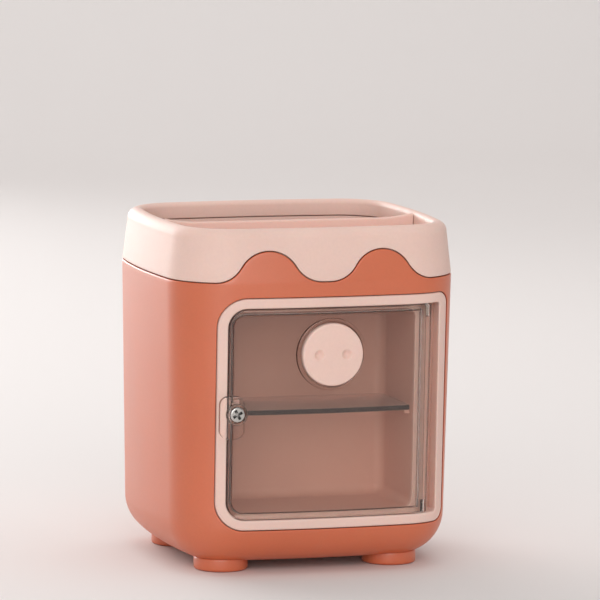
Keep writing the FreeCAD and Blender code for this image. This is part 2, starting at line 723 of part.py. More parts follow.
LATCH_FRONT = latch_face().y - size("tab_gap") - size("tab_wall")
SCREW_SEAT = LATCH_FRONT + size("screw_bite")
SCREW_TIP = SCREW_SEAT + size("screw_length")
MAGNET_FRONT = SCREW_TIP + size("magnet_gap")

# Bezel and cabinet


def bezel_frame():
    """Frame in the window: face, back wall that stops the door, clamping flange and magnet holder."""
    reach = size("flange_reach")
    low = BEZEL_BOTTOM - reach
    high = BEZEL_TOP + reach
    depth = size("bezel_depth")
    back_wall = depth - size("bezel_back_wall")
    outline = bezel_window(0.0)
    face = around(band(low, high, 0.0, depth), FRONT_ARCS).common(outline)
    face = face.cut(bezel_opening(0.0))
    cabinet = rounded_window(
        CABINET_LEFT, CABINET_RIGHT, CABINET_BOTTOM, CABINET_TOP,
        size("cabinet_round"), size("cabinet_round"),
    )
    back = around(band(low, high, back_wall, depth), FRONT_ARCS).common(outline).cut(cabinet)
    near = SHELL_WALL + FIT_GAP
    (_, round_start), _, (centre_inset, _) = base_profile(near)
    round_radius = size("base_round") - near
    low_inset = centre_inset - math.sqrt(round_radius ** 2 - (round_start - low) ** 2)
    flange = around(section([
        (low_inset, low),
        (skin(round_start) + near, round_start),
        (skin(high) + near, high),
        (skin(high) + near + size("flange_wall"), high),
        (skin(round_start) + near + size("flange_wall"), round_start),
        (low_inset + size("flange_wall"), low),
    ]), FRONT_ARCS)
    flange = flange.common(bezel_window(reach)).cut(bezel_window(-size("flange_wall") / 2))
    holder_left = CABINET_LEFT - size("cabinet_wall") / 2
    holder = box_between(
        Vector(holder_left, MAGNET_FRONT, LATCH_HEIGHT - size("holder_half_height")),
        Vector(
            holder_left + size("holder_reach"),
            MAGNET_FRONT + size("magnet_length") + size("holder_wall"),
            LATCH_HEIGHT + size("holder_half_height"),
        ),
    )
    frame = face.multiFuse([back, flange, holder])
    pocket = Part.makeCylinder(
        size("magnet_radius"),
        size("magnet_length") + OVERRUN,
        Vector(LATCH_ACROSS, MAGNET_FRONT - OVERRUN, LATCH_HEIGHT),
        BACKWARD,
    )
    frame = frame.cut(pocket)
    for foot, direction in ((HINGE_FOOT, -1), (HINGE_HEAD, 1)):
        seat_start = foot - HINGE_AXIS * (direction * size("door_gap"))
        seat = Part.makeCylinder(
            size("pin_diameter") / 2,
            size("pin_seat") + 2 * size("door_gap"),
            seat_start,
            HINGE_AXIS * direction,
        )
        frame = frame.cut(seat)
    return add_shape("bezel_frame", frame.removeSplitter())


def cabinet_box():
    """Box behind the bezel, open in front, with ledges for the shelf and posts for the screws."""
    wall = size("cabinet_wall")
    front = -HALF_DEPTH
    inner_low = Vector(CABINET_LEFT, front, CABINET_BOTTOM)
    inner_high = Vector(CABINET_RIGHT, CABINET_BACK, CABINET_TOP)
    margin = Vector(wall, wall, wall)
    outer = box_between(inner_low - Vector(wall, 0, wall), inner_high + margin)
    inner = box_between(inner_low - Vector(0, OVERRUN, 0), inner_high)
    rear_edges = [edge for edge in inner.Edges if edge.BoundBox.YMin > inner_high.y - FIT_GAP]
    long_edges = [edge for edge in inner.Edges if edge.BoundBox.YLength > HALF_DEPTH / 2]
    inner = inner.makeFillet(size("cabinet_round"), rear_edges + long_edges)
    box = outer.cut(inner)
    ledge_top = SHELF_HEIGHT
    ledge_start = front + size("ledge_front")
    for across, direction in ((CABINET_LEFT, 1), (CABINET_RIGHT, -1)):
        ends = sorted((across - direction * wall / 2, across + direction * size("ledge_width")))
        ledge = box_between(
            Vector(ends[0], ledge_start, ledge_top - size("ledge_wall")),
            Vector(ends[1], CABINET_BACK + wall / 2, ledge_top),
        )
        box = box.fuse(ledge)
    cabinet_posts, _ = post_places()
    for place in cabinet_posts:
        length = CABINET_BOTTOM - wall / 2 - POST_BASE
        post = Part.makeCylinder(size("post_radius"), length, place + UP * POST_BASE)
        bore = Part.makeCylinder(size("fixing_radius"), size("fixing_length"), place + UP * POST_BASE)
        box = box.fuse(post).cut(bore)
    low = CABINET_BOTTOM - 2 * wall
    high = CABINET_TOP + 2 * wall
    trim = around(band(low, high, -2 * OVERRUN, size("bezel_depth")), FRONT_ARCS)
    box = box.cut(trim)
    half_gap = size("holder_half_height") + FIT_GAP
    holder_gap = box_between(
        Vector(CABINET_LEFT - 2 * wall, front, LATCH_HEIGHT - half_gap),
        Vector(
            0,
            MAGNET_FRONT + size("magnet_length") + size("holder_wall") + FIT_GAP,
            LATCH_HEIGHT + half_gap,
        ),
    )
    return add_shape("cabinet_box", box.cut(holder_gap).removeSplitter())


# Door


def door_panel():
    """Clear curved panel with a rim, hinge barrel, latch tab with a boss and a ring for the button."""
    near = size("door_set_back")
    far = near + size("door_wall")
    low = BEZEL_BOTTOM
    high = BEZEL_TOP
    gap = size("door_gap")
    outline = bezel_opening(gap)
    hinge_side = box_between(
        Vector(HINGE_ACROSS, -HALF_DEPTH - OVERRUN, 0),
        Vector(HALF_WIDTH, 0, OVERALL_HEIGHT),
    )
    outline = outline.cut(hinge_side)
    panel = around(band(low, high, near, far), FRONT_ARCS).common(outline)
    rim = around(band(low, high, far - size("return_wall") / 2, far + size("return_depth")), FRONT_ARCS)
    rim = rim.common(outline).cut(bezel_opening(gap + size("return_wall")))
    barrel_end = HINGE_ACROSS - size("barrel_radius") / 2
    rim = rim.cut(hinge_side.translated(Vector(barrel_end - HINGE_ACROSS, 0, 0)))
    barrel = Part.makeCylinder(size("barrel_radius"), HINGE_LENGTH, HINGE_FOOT, HINGE_AXIS)
    door = panel.multiFuse([rim, barrel])

    tab_near = -size("tab_gap") - size("tab_wall")
    tab_left = BEZEL_LEFT + size("tab_inset")
    tab_block = rounded_window(
        tab_left,
        tab_left + size("tab_width"),
        LATCH_HEIGHT - size("tab_below"),
        LATCH_HEIGHT + size("tab_above"),
        size("tab_round"),
        size("tab_round"),
    )
    over = around(band(low, high, tab_near, -size("tab_gap")), FRONT_ARCS).common(tab_block)
    under = around(band(low, high, -size("tab_gap"), near), FRONT_ARCS).common(tab_block).common(outline)
    centre = Vector(LATCH_ACROSS, LATCH_FRONT, LATCH_HEIGHT)
    boss_head = Part.makeCylinder(size("boss_radius"), size("tab_wall"), centre, BACKWARD)
    boss_length = size("tab_gap") + size("tab_wall") + far + size("return_depth") / 2
    boss_stem = Part.makeCylinder(size("boss_radius"), boss_length, centre, BACKWARD).common(outline)
    door = door.multiFuse([over, under, boss_head, boss_stem])
    head_seat = size("screw_head_radius") + size("pin_gap")
    seat = Part.makeCylinder(head_seat, size("screw_bite") + OVERRUN, centre - BACKWARD * OVERRUN, BACKWARD)
    bore = Part.makeCylinder(size("screw_radius"), size("screw_length") + OVERRUN, centre, BACKWARD)
    door = door.cut(seat.fuse(bore))

    face = front_face(BUTTON_ACROSS, near, BUTTON_PLACE)
    ring_front = face.y - size("ring_height")
    ring_centre = Vector(BUTTON_ACROSS, ring_front, BUTTON_PLACE)
    ring_length = size("ring_height") + size("door_wall")
    ring = Part.makeCylinder(size("ring_radius"), ring_length, ring_centre, BACKWARD)
    recess_radius = size("button_radius") + size("ring_gap")
    recess_length = button_seat() - ring_front + OVERRUN
    recess = Part.makeCylinder(recess_radius, recess_length, ring_centre - BACKWARD * OVERRUN, BACKWARD)
    peg_bore = Part.makeCylinder(size("peg_radius") + size("pin_gap"), 2 * OVERRUN, ring_centre, BACKWARD)
    door = door.fuse(ring).cut(recess.fuse(peg_bore))
    for foot, direction in ((HINGE_FOOT, -1), (HINGE_HEAD, 1)):
        seat_start = foot + HINGE_AXIS * (direction * OVERRUN)
        length = OVERRUN + size("pin_length") - size("pin_seat") - gap + FIT_GAP
        radius = size("pin_diameter") / 2 + size("pin_gap")
        door = door.cut(Part.makeCylinder(radius, length, seat_start, HINGE_AXIS * -direction))
    return add_shape("door_panel", door.removeSplitter())


# Small turned and moulded parts as PartDesign bodies


def plane_of(body, role):
    """Origin plane or axis of a body by its role."""
    return [feature for feature in body.Origin.OriginFeatures if feature.Role == role][0]


def new_body(label):
    """Empty body with its own label."""
    body = DOCUMENT.addObject("PartDesign::Body", label)
    body.Label = label
    return body


def new_sketch(body, name, role):
    """Sketch on one of the body's origin planes."""
    sketch = body.newObject("Sketcher::SketchObject", name)
    sketch.AttachmentSupport = [(plane_of(body, role), "")]
    sketch.MapMode = "FlatFace"
    return sketch


def add_circle(sketch, expression):
    """Circle on the sketch origin whose radius follows an expression."""
    index = sketch.addGeometry(Part.Circle(Vector(0, 0, 0), Vector(0, 0, 1), 1), False)
    sketch.addConstraint(Sketcher.Constraint("Coincident", index, 3, -1, 1))
    radius = sketch.addConstraint(Sketcher.Constraint("Radius", index, 1))
    sketch.setExpression("Constraints[%d]" % radius, expression)
    return index


def add_pad(body, sketch, name, expression):
    """Pad of a sketch whose length follows an expression."""
    pad = body.newObject("PartDesign::Pad", name)
    pad.Profile = sketch
    pad.setExpression("Length", expression)
    return pad


def soften_face(body, name, height, expression):
    """Fillet round the edges that lie at a height of the body."""
    DOCUMENT.recompute()
    tip = body.Tip
    names = [
        "Edge%d" % (number + 1)
        for number, edge in enumerate(tip.Shape.Edges)
        if abs(edge.BoundBox.Center.z - height) < FIT_GAP and edge.BoundBox.ZLength < FIT_GAP
    ]
    fillet = body.newObject("PartDesign::Fillet", name)
    fillet.Base = (tip, names)
    fillet.setExpression("Radius", expression)
    DOCUMENT.recompute()
    return fillet


def round_pin(label, radius, length, placement):
    """Plain round bar along its own Z axis."""
    body = new_body(label)
    sketch = new_sketch(body, label + "_circle", "XY_Plane")
    add_circle(sketch, radius)
    add_pad(body, sketch, label + "_bar", length)
    body.Placement = placement
    return body


def facing_back(place):
    """Placement whose Z axis points backward from a point on the front."""
    return Placement(place + PLAN_CENTRE, Rotation(UP, BACKWARD))


def hinge_pins():
    """Upper and lower steel pin on the hinge line."""
    for label, foot, direction in (
        ("hinge_pin_upper", HINGE_HEAD, 1),
        ("hinge_pin_lower", HINGE_FOOT, -1),
    ):
        end = foot + HINGE_AXIS * (direction * (size("pin_seat") + size("door_gap")))
        turn = Rotation(UP, HINGE_AXIS * -direction)
        round_pin(label, "Sizes.pin_diameter / 2", "Sizes.pin_length", Placement(end + PLAN_CENTRE, turn))


def latch_magnet():
    """Round magnet in its holder behind the screw point."""
    place = Vector(LATCH_ACROSS, MAGNET_FRONT, LATCH_HEIGHT)
    return round_pin("latch_magnet", "Sizes.magnet_radius", "Sizes.magnet_length", facing_back(place))


def latch_screw():
    """Pan head screw with a cross recess; its head faces the front."""
    body = new_body("latch_screw")
    head_sketch = new_sketch(body, "screw_head_circle", "XY_Plane")
    add_circle(head_sketch, "Sizes.screw_head_radius")
    head = add_pad(body, head_sketch, "screw_head", "Sizes.screw_head_height")
    head.Reversed = True
    shank_sketch = new_sketch(body, "screw_shank_circle", "XY_Plane")
    add_circle(shank_sketch, "Sizes.screw_radius")
    add_pad(body, shank_sketch, "screw_shank", "Sizes.screw_length")
    soften_face(body, "screw_dome", -size("screw_head_height"), "Sizes.screw_head_height * Sizes.dome_share")
    cross = new_sketch(body, "screw_cross", "XY_Plane")
    for turned in (False, True):
        add_slot(cross, turned)
    DOCUMENT.recompute()
    pocket = body.newObject("PartDesign::Pocket", "screw_recess")
    pocket.Profile = cross
    pocket.Type = 0
    pocket.Reversed = False
    pocket.setExpression("Length", "Sizes.cross_depth")
    cross.setExpression(".AttachmentOffset.Base.z", "-Sizes.screw_head_height")
    body.Placement = facing_back(Vector(LATCH_ACROSS, SCREW_SEAT, LATCH_HEIGHT))
    return body


def add_slot(sketch, turned):
    """One arm pair of the cross as a closed rectangle through the middle."""
    reach = size("cross_reach")
    half = size("cross_width") / 2
    across, along = (half, reach) if turned else (reach, half)
    corners = [(-across, -along), (across, -along), (across, along), (-across, along)]
    for start, end in zip(corners, corners[1:] + corners[:1]):
        sketch.addGeometry(Part.LineSegment(Vector(*start, 0), Vector(*end, 0)), False)


def snout_button():
    """Thick round button with a soft edge, two dimples and a peg on its back."""
    body = new_body("snout_button")
    disc_sketch = new_sketch(body, "button_circle", "XY_Plane")
    add_circle(disc_sketch, "Sizes.button_radius")
    disc = add_pad(body, disc_sketch, "button_disc", "Sizes.button_height")
    disc.Reversed = True
    peg_sketch = new_sketch(body, "button_peg_circle", "XY_Plane")
    add_circle(peg_sketch, "Sizes.peg_radius")
    add_pad(body, peg_sketch, "button_peg", "Sizes.ring_floor")
    soften_face(body, "button_edge", -size("button_height"), "Sizes.button_round")
    for name, sign in (("left", "-"), ("right", "")):
        ball = body.newObject("PartDesign::SubtractiveSphere", "dimple_" + name)
        ball.setExpression("Radius", "Sizes.dimple_radius")
        ball.AttachmentSupport = [(plane_of(body, "XY_Plane"), "")]
        ball.MapMode = "FlatFace"
        ball.setExpression(".AttachmentOffset.Base.x", sign + "Sizes.dimple_offset")
        depth = "-Sizes.button_height - Sizes.dimple_radius + Sizes.dimple_depth"
        ball.setExpression(".AttachmentOffset.Base.z", depth)
        DOCUMENT.recompute()
    body.Placement = facing_back(Vector(BUTTON_ACROSS, button_seat(), BUTTON_PLACE))
    return body


def shelf():
    """Clear shelf with a bowed front edge, laid on the ledges."""
    low = SHELF_HEIGHT
    high = low + size("shelf_wall")
    gap = size("shelf_gap")
    front = -HALF_DEPTH
    slab = box_between(
        Vector(CABINET_LEFT + gap, front, low),
        Vector(CABINET_RIGHT - gap, CABINET_BACK - gap, high),
    )
    front_trim = band(low - OVERRUN, high + OVERRUN, -2 * OVERRUN, size("shelf_set_back"))
    slab = slab.cut(around(front_trim, FRONT_ARCS))
    rear_face = CABINET_BACK - gap
    upright = [edge for edge in slab.Edges if edge.BoundBox.ZLength > size("shelf_wall") / 2]
    rear = [edge for edge in upright if edge.BoundBox.YMin > rear_face - gap]
    slab = slab.makeFillet(size("cabinet_round"), rear)
    holder_gap = box_between(
        Vector(CABINET_LEFT - gap, front, low - OVERRUN),
        Vector(
            CABINET_LEFT + size("holder_reach") + gap,
            MAGNET_FRONT + size("magnet_length") + size("holder_wall") + FIT_GAP,
            high + OVERRUN,
        ),
    )
    return add_shape("shelf", slab.cut(holder_gap))


def assembly_screws():
    """Six identical screws from below: a round head and a plain shank each."""
    cabinet_posts, insert_posts = post_places()
    screws = []
    for place in cabinet_posts + insert_posts:
        base = RECESS_TOP - size("fixing_head_height")
        head = Part.makeCylinder(size("fixing_head_radius"), size("fixing_head_height"), place + UP * base)
        shank_length = POST_BASE - RECESS_TOP + size("fixing_length") - FIT_GAP
        shank = Part.makeCylinder(size("fixing_radius"), shank_length, place + UP * RECESS_TOP)
        screws.append(head.fuse(shank))
    return add_shape("assembly_screws", Part.makeCompound(screws))


def export_parts():
    """Recompute, check every object and write each sub-part to its own file."""
    DOCUMENT.recompute()
    for item in DOCUMENT.Objects:
        if "Invalid" in item.State or "Error" in item.State:
            raise RuntimeError("object %s failed: %s" % (item.Label, item.State))
    os.makedirs("parts", exist_ok=True)
    bodies = [item for item in DOCUMENT.Objects if item.TypeId in ("Part::Feature", "PartDesign::Body")]
    for item in bodies:
        shape = item.Shape
        if shape.isNull() or not shape.isValid() or not shape.Solids:
            raise RuntimeError("sub-part %s has no valid solid" % item.Label)
        shape.exportStep("parts/%s.step" % item.Label)
        print("%-18s solids %d volume %.0f" % (item.Label, len(shape.Solids), shape.Volume))


body_shell()
top_collar()
pen_insert()
bezel_frame()
cabinet_box()
door_panel()
hinge_pins()
latch_magnet()
latch_screw()
snout_button()
shelf()
assembly_screws()
export_parts()
print("hinge at", HINGE_FOOT + PLAN_CENTRE, "axis", HINGE_AXIS)
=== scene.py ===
"""Looks of the desk organizer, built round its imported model.

Shapes are worked out in millimetres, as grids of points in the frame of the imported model, and go into the
meshes in metres. The middle of the plan is the middle of the body shell; +Z is up and the door faces -Y.
"""

import json
import math

import bmesh
import bpy
import numpy as np
from mathutils import Matrix, Vector


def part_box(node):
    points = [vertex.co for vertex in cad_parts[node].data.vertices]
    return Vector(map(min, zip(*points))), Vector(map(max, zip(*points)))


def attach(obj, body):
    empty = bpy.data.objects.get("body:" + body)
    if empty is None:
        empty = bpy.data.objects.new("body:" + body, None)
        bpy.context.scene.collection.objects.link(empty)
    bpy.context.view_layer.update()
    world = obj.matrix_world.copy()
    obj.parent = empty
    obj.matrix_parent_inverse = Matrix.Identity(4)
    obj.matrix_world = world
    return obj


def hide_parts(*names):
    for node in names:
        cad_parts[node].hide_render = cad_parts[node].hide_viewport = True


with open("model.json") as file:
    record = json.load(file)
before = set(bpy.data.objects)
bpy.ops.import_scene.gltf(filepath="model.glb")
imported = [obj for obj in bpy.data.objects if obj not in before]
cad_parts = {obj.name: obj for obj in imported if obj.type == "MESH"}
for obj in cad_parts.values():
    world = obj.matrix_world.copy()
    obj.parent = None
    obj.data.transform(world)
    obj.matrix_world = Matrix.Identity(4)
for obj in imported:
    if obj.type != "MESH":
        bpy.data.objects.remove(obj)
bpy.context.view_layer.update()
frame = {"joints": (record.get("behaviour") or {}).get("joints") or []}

MM = 0.001
MERGE = 2e-6
UP = np.array([0.0, 0.0, 1.0])
BACKWARD = np.array([0.0, 1.0, 0.0])

# Plan and heights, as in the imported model

HALF_WIDTH = 60.0
HALF_DEPTH = 55.5
CORNER_RADIUS = 25.0
FRONT_BOW = 360.0
SIDE_BOW = 300.0
OVERALL_HEIGHT = 136.5
COLLAR_HEIGHT = 20.8
PARTING = OVERALL_HEIGHT - COLLAR_HEIGHT
BODY_DRAFT = 2.2
COLLAR_LEAN = 2.0
SHELL_WALL = 2.2
BASE_ROUND = 17.0
FOOT_HEIGHT = 4.0
LIP_OUTER = 4.2
LIP_INNER = 2.0
LIP_START = OVERALL_HEIGHT - LIP_OUTER
PARTING_GAP = 0.4
CREST_OFFSET = 23.2
CREST_RISE = 12.2
WAVE_REACH = 21.5
FIT_GAP = 0.3
SINK = 0.9
TIGHT = 0.4
EDGE = 0.3
PLAY = 0.05
HAIR = 0.01
ALMOST = 0.999
OVERCUT = 5.0
COLLAR_WALL = 2.0
LIP_DROP = 6.5
SKIRT_DROP = 3.3
SKIRT_WALL = 1.7
FOOT_RADIUS = 10.7
FOOT_ROUND = 1.2
FOOT_ACROSS = 34.8
FOOT_ALONG = 30.4
BEZEL_LEFT = -43.1
BEZEL_RIGHT = 53.0
BEZEL_BOTTOM = 18.3
BEZEL_TOP = 109.7
BEZEL_LEFT_ROUND = 11.5
BEZEL_RIGHT_ROUND = 5.0
STRIPE_LEFT = 4.0
STRIPE_RIGHT = 4.5
STRIPE_LEVEL = 3.9
BEZEL_DEPTH = 7.3
BEZEL_BACK = 1.8
WINDOW_GAP = 0.3
FLANGE_REACH = 2.5
FLANGE_FRONT = SHELL_WALL + FIT_GAP
FLANGE_BACK = FLANGE_FRONT + 1.8
CABINET_LEFT = -38.6
CABINET_RIGHT = 38.8
CABINET_BOTTOM = 24.0
CABINET_TOP = 104.0
CABINET_BACK = -8.0
CABINET_ROUND = 4.0
CABINET_WALL = 1.8
LEDGE_REACH = 2.2
LEDGE_WALL = 1.6
LEDGE_START = 14.0
DOOR_GAP = 0.4
DOOR_WALL = 2.0
DOOR_BACK = 0.3
RETURN_DEPTH = 2.6
RETURN_WALL = 2.0
BARREL_RADIUS = 2.2
HINGE_CORNER = 1.2
LATCH_ACROSS = -36.0
LATCH_HEIGHT = 64.7
BUTTON_ACROSS = 2.1
BUTTON_PLACE = 87.4
BUTTON_RADIUS = 12.3
BUTTON_HEIGHT = 3.8
BUTTON_SOFT = 0.8
BUTTON_LIFT = 0.06
SEAT_WALL = 1.4
DIMPLE_ACROSS = 5.6
DIMPLE_RADIUS = 2.3
DIMPLE_DEPTH = 1.5
PEG_RADIUS = 2.5
PEG_LENGTH = 1.36
RING_RADIUS = 14.2
RING_HEIGHT = 1.4
RING_GAP = 0.35
BOSS_PROUD = 1.0
SHELF_LOW = 62.5
SHELF_WALL = 2.0
SHELF_GAP = 0.2
SHELF_CORNER = 4.0
SHELF_SETBACK = 10.0
SHELF_NOTCH = 6.8
DIVIDER_FRONT = -5.5
DIVIDER_BACK = -3.7
DIVIDER_TOP = 134.6
DIVIDER_RISE = 1.6
DIVIDER_RUN = 14.0
TAB_INSET = 0.7
TAB_WIDTH = 9.8
TAB_BELOW = 9.9
TAB_ABOVE = 7.1
TAB_ROUND = 3.5
TAB_GAP = 0.25
TAB_WALL = 1.9
BOSS_RADIUS = 4.3
SCREW_RADIUS = 1.5
HEAD_SINK = 0.6
SCREW_LENGTH = 7.0
MAGNET_GAP = 0.5
HEAD_RADIUS = 3.05
HEAD_HEIGHT = 1.8
HEAD_SOFT = 0.7
SEAT_RADIUS = 3.35
SEAT_MOUTH = 3.7
CROSS_REACH = 2.05
CROSS_HALF_WIDTH = 0.55
CROSS_DEPTH = 1.1
CROSS_EDGE = 0.1
CROSS_TURN = math.radians(28)
STEM_RADIUS = 4.2
STEM_START = 1.6
STEM_END = 5.75
MAGNET_RADIUS = 3.0
MAGNET_WALL = 3.0
HOLDER_WIDTH = 6.6
HOLDER_DEPTH = 4.4
HOLDER_HALF_HEIGHT = 4.8
PIN_RADIUS = 1.0
PIN_LENGTH = 7.6
PIN_REACH = 2.9
PIN_SOFT = 0.25
PIN_SEAT_LENGTH = 5.0

low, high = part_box("body_shell")
SHIFT = np.array([0.0, (low.y + high.y) / 2 / MM, 0.0])
HINGE = frame["joints"][0]
HINGE_POINT = np.array(HINGE["pos_m"]) / MM - SHIFT
HINGE_AXIS = np.array(HINGE["axis"])
DOOR_LEFT = BEZEL_LEFT + STRIPE_LEFT + DOOR_GAP
DOOR_TOP = BEZEL_TOP - STRIPE_LEVEL - DOOR_GAP
BARREL_LENGTH = (DOOR_TOP - HINGE_POINT[2]) / HINGE_AXIS[2]
BARREL_TOP = HINGE_POINT + HINGE_AXIS * BARREL_LENGTH


def plan_arcs():
    """The plan's eight tangent arcs, counterclockwise from the front: centre, radius and both angles."""
    front, side = FRONT_BOW - HALF_DEPTH, SIDE_BOW - HALF_WIDTH
    near_front, near_side = FRONT_BOW - CORNER_RADIUS, SIDE_BOW - CORNER_RADIUS
    span = math.hypot(front, side)
    along = (near_front ** 2 - near_side ** 2 + span ** 2) / (2 * span)
    across = math.sqrt(near_front ** 2 - along ** 2)
    axis = np.array([-side, -front]) / span
    corner = np.array([0, front]) + axis * along + np.array([-axis[1], axis[0]]) * across
    front_turn = math.atan2(corner[0], front - corner[1])
    side_turn = math.atan2(-corner[1], corner[0] + side)
    rows = []
    for quarter in range(4):
        start = math.pi / 2 * (quarter - 1)
        even = quarter % 2 == 0
        turn, following = (front_turn, side_turn) if even else (side_turn, front_turn)
        offset, bow = (front, FRONT_BOW) if even else (side, SIDE_BOW)
        rows.append([-offset * math.cos(start), -offset * math.sin(start), bow, start - turn, start + turn])
        place = [abs(corner[0]) * (1, 1, -1, -1)[quarter], abs(corner[1]) * (-1, 1, 1, -1)[quarter]]
        rows.append([*place, CORNER_RADIUS, start + turn, start + math.pi / 2 - following])
    return np.array(rows)


ARCS = plan_arcs()
RUNS = ARCS[:, 2] * (ARCS[:, 4] - ARCS[:, 3])
STARTS = np.concatenate([[0], np.cumsum(RUNS)[:-1]])
PLAN_LENGTH = RUNS.sum()
FRONT_HALF = RUNS[0] / 2
FRONT_TURN = RUNS[0] / 2 / FRONT_BOW
CORNER_X = ARCS[1, 0]
FRONT_END_TURN = math.radians(84.5)


def plan_xy(run, inset):
    """Point of the plan at a run along it from the middle of the front, drawn in along the normal."""
    run, inset = np.broadcast_arrays(np.asarray(run, float), np.asarray(inset, float))
    place = np.mod(run + FRONT_HALF, PLAN_LENGTH)
    row = np.searchsorted(STARTS, place, side="right") - 1
    angle = ARCS[row, 3] + (place - STARTS[row]) / ARCS[row, 2]
    reach = ARCS[row, 2] - inset
    return ARCS[row, 0] + reach * np.cos(angle), ARCS[row, 1] + reach * np.sin(angle)


def run_of(across, inset):
    """Run along the plan of a point of the front that is given by its distance from the middle."""
    size = np.abs(across)
    flat = FRONT_BOW * np.arcsin(np.clip(size / (FRONT_BOW - inset), 0, 1))
    turn = np.arcsin(np.clip((size - CORNER_X) / (CORNER_RADIUS - inset), 0, 1))
    bent = FRONT_HALF + CORNER_RADIUS * (turn - FRONT_TURN)
    return np.sign(across) * np.where(size > (FRONT_BOW - inset) * math.sin(FRONT_TURN), bent, flat)


def front_point(across, height, inset):
    """Point on the front at a distance from the middle and a height, at an inset behind the plan.

    The distance is held short of where the corner arc turns fully to the side.
    """
    limit = CORNER_X + (CORNER_RADIUS - inset) * math.sin(FRONT_END_TURN)
    across = np.clip(across, -limit, limit)
    x, y = plan_xy(run_of(across, inset), inset)
    return np.stack(np.broadcast_arrays(across, y, height), axis=-1)


def plan_loop(runs, height, inset):
    """Points along the plan at runs, heights and insets."""
    x, y = plan_xy(runs, inset)
    return np.stack(np.broadcast_arrays(x, y, height), axis=-1)


def skin_loop(runs, height, depth):
    """Points along the plan at runs and heights, a depth behind the outer surface."""
    return plan_loop(runs, height, skin(height) + depth)


def skin(height):
    """Inset of the outer surface at a height: draft below the parting line, lean above it."""
    below = BODY_DRAFT * (PARTING - height) / (PARTING - FOOT_HEIGHT)
    above = COLLAR_LEAN * (height - PARTING) / (LIP_START - PARTING)
    return np.where(height <= PARTING, below, above)


def face_point(across, height, depth):
    """Point a depth behind the drafted front face."""
    return front_point(across, height, skin(height) + depth)


SLOPE = BODY_DRAFT / (PARTING - FOOT_HEIGHT)
STRETCH = math.sqrt(1 + SLOPE ** 2)
ROUND_HEIGHT = FOOT_HEIGHT + BASE_ROUND
ROUND_TOP = ROUND_HEIGHT - BASE_ROUND * SLOPE / STRETCH
ROUND_INSET = float(skin(ROUND_TOP)) + BASE_ROUND / STRETCH
ROUND_TURN = math.acos(SLOPE / STRETCH)


def shell_point(run, climb, depth):
    """Point of the shell: climb turns up the base rounding, then goes up the wall in its radii."""
    run, climb = np.broadcast_arrays(run, climb)
    radius = BASE_ROUND - depth
    turn = np.minimum(climb, ROUND_TURN)
    height = ROUND_TOP + (climb - ROUND_TURN) * BASE_ROUND
    wall = climb > ROUND_TURN
    inset = np.where(wall, skin(height) + depth, ROUND_INSET - radius * np.sin(turn))
    z = np.where(wall, height, ROUND_HEIGHT - radius * np.cos(turn))
    x, y = plan_xy(run, inset)
    return np.stack([x, y, z], axis=-1)


def climb_of(height, depth):
    """Climb of a height on the shell's skin at a depth."""
    radius = BASE_ROUND - depth
    turn = np.arccos(np.clip((ROUND_HEIGHT - height) / radius, -1, 1))
    return np.where(height < ROUND_TOP, turn, ROUND_TURN + (height - ROUND_TOP) / BASE_ROUND)


def shell_inset(height, depth):
    """Inset of the shell's skin at a height and a depth."""
    climb = climb_of(height, depth)
    radius = BASE_ROUND - depth
    return np.where(height < ROUND_TOP, ROUND_INSET - radius * np.sin(climb), skin(height) + depth)


def wave(run):
    """Rise of the parting line over its flat part: two arcs up to each crest and two down."""
    x, _ = plan_xy(run, skin(PARTING))
    front = np.cos(np.mod(run, PLAN_LENGTH) / PLAN_LENGTH * 2 * math.pi) > 0
    radius = (WAVE_REACH ** 2 + CREST_RISE ** 2) / (4 * CREST_RISE)
    away = np.abs(np.abs(x) - CREST_OFFSET)
    inner = np.minimum(away, WAVE_REACH / 2)
    outer = np.clip(WAVE_REACH - away, 0, WAVE_REACH / 2)
    crest = CREST_RISE - radius + np.sqrt(radius ** 2 - inner ** 2)
    foot = radius - np.sqrt(radius ** 2 - outer ** 2)
    return np.where(front, np.where(away < WAVE_REACH / 2, crest, foot), 0.0)


def wave_line(run, rise):
    """Run and height of the wavy parting line, moved out of itself along its normal by a rise."""
    step = 0.05
    slope = np.arctan2(wave(run + step) - wave(run - step), 2 * step)
    return run - rise * np.sin(slope), PARTING + wave(run) + rise * np.cos(slope)


# Grids, meshes and joins


def quads(rows, columns, wrap_rows, wrap_columns):
    """Corner numbers of every cell of a grid, closed round a direction that wraps."""
    i, j = np.meshgrid(
        np.arange(rows if wrap_rows else rows - 1),
        np.arange(columns if wrap_columns else columns - 1),
        indexing="ij",
    )
    after_i, after_j = (i + 1) % rows, (j + 1) % columns
    corners = [i * columns + j, i * columns + after_j, after_i * columns + after_j, after_i * columns + j]
    return np.stack(corners, axis=-1).reshape(-1, 4)


def add_object(name, data):
    """New object in the scene."""
    thing = bpy.data.objects.new(name, data)
    bpy.context.scene.collection.objects.link(thing)
    return thing


def make_piece(name, patches, sharp=35):
    """One object from grids of points, each with its wraps, merged along the lines that they share."""
    points, faces, start = [], [], 0
    for grid, wrap_rows, wrap_columns in patches:
        rows, columns = grid.shape[:2]
        points.append(grid.reshape(-1, 3))
        faces.append(quads(rows, columns, wrap_rows, wrap_columns) + start)
        start += rows * columns
    mesh = bpy.data.meshes.new(name)
    mesh.from_pydata((np.concatenate(points) + SHIFT) * MM, [], np.concatenate(faces))
    bm = bmesh.new()
    bm.from_mesh(mesh)
    bmesh.ops.remove_doubles(bm, verts=bm.verts, dist=MERGE)
    bmesh.ops.recalc_face_normals(bm, faces=bm.faces)
    bm.to_mesh(mesh)
    bm.free()
    piece = add_object(name, mesh)
    smooth(piece, sharp)
    return piece


def smooth(piece, sharp):
    """Smooth shading with sharp edges past an angle in degrees."""
    piece.data.polygons.foreach_set("use_smooth", np.ones(len(piece.data.polygons), bool))
    piece.data.set_sharp_from_angle(angle=math.radians(sharp))


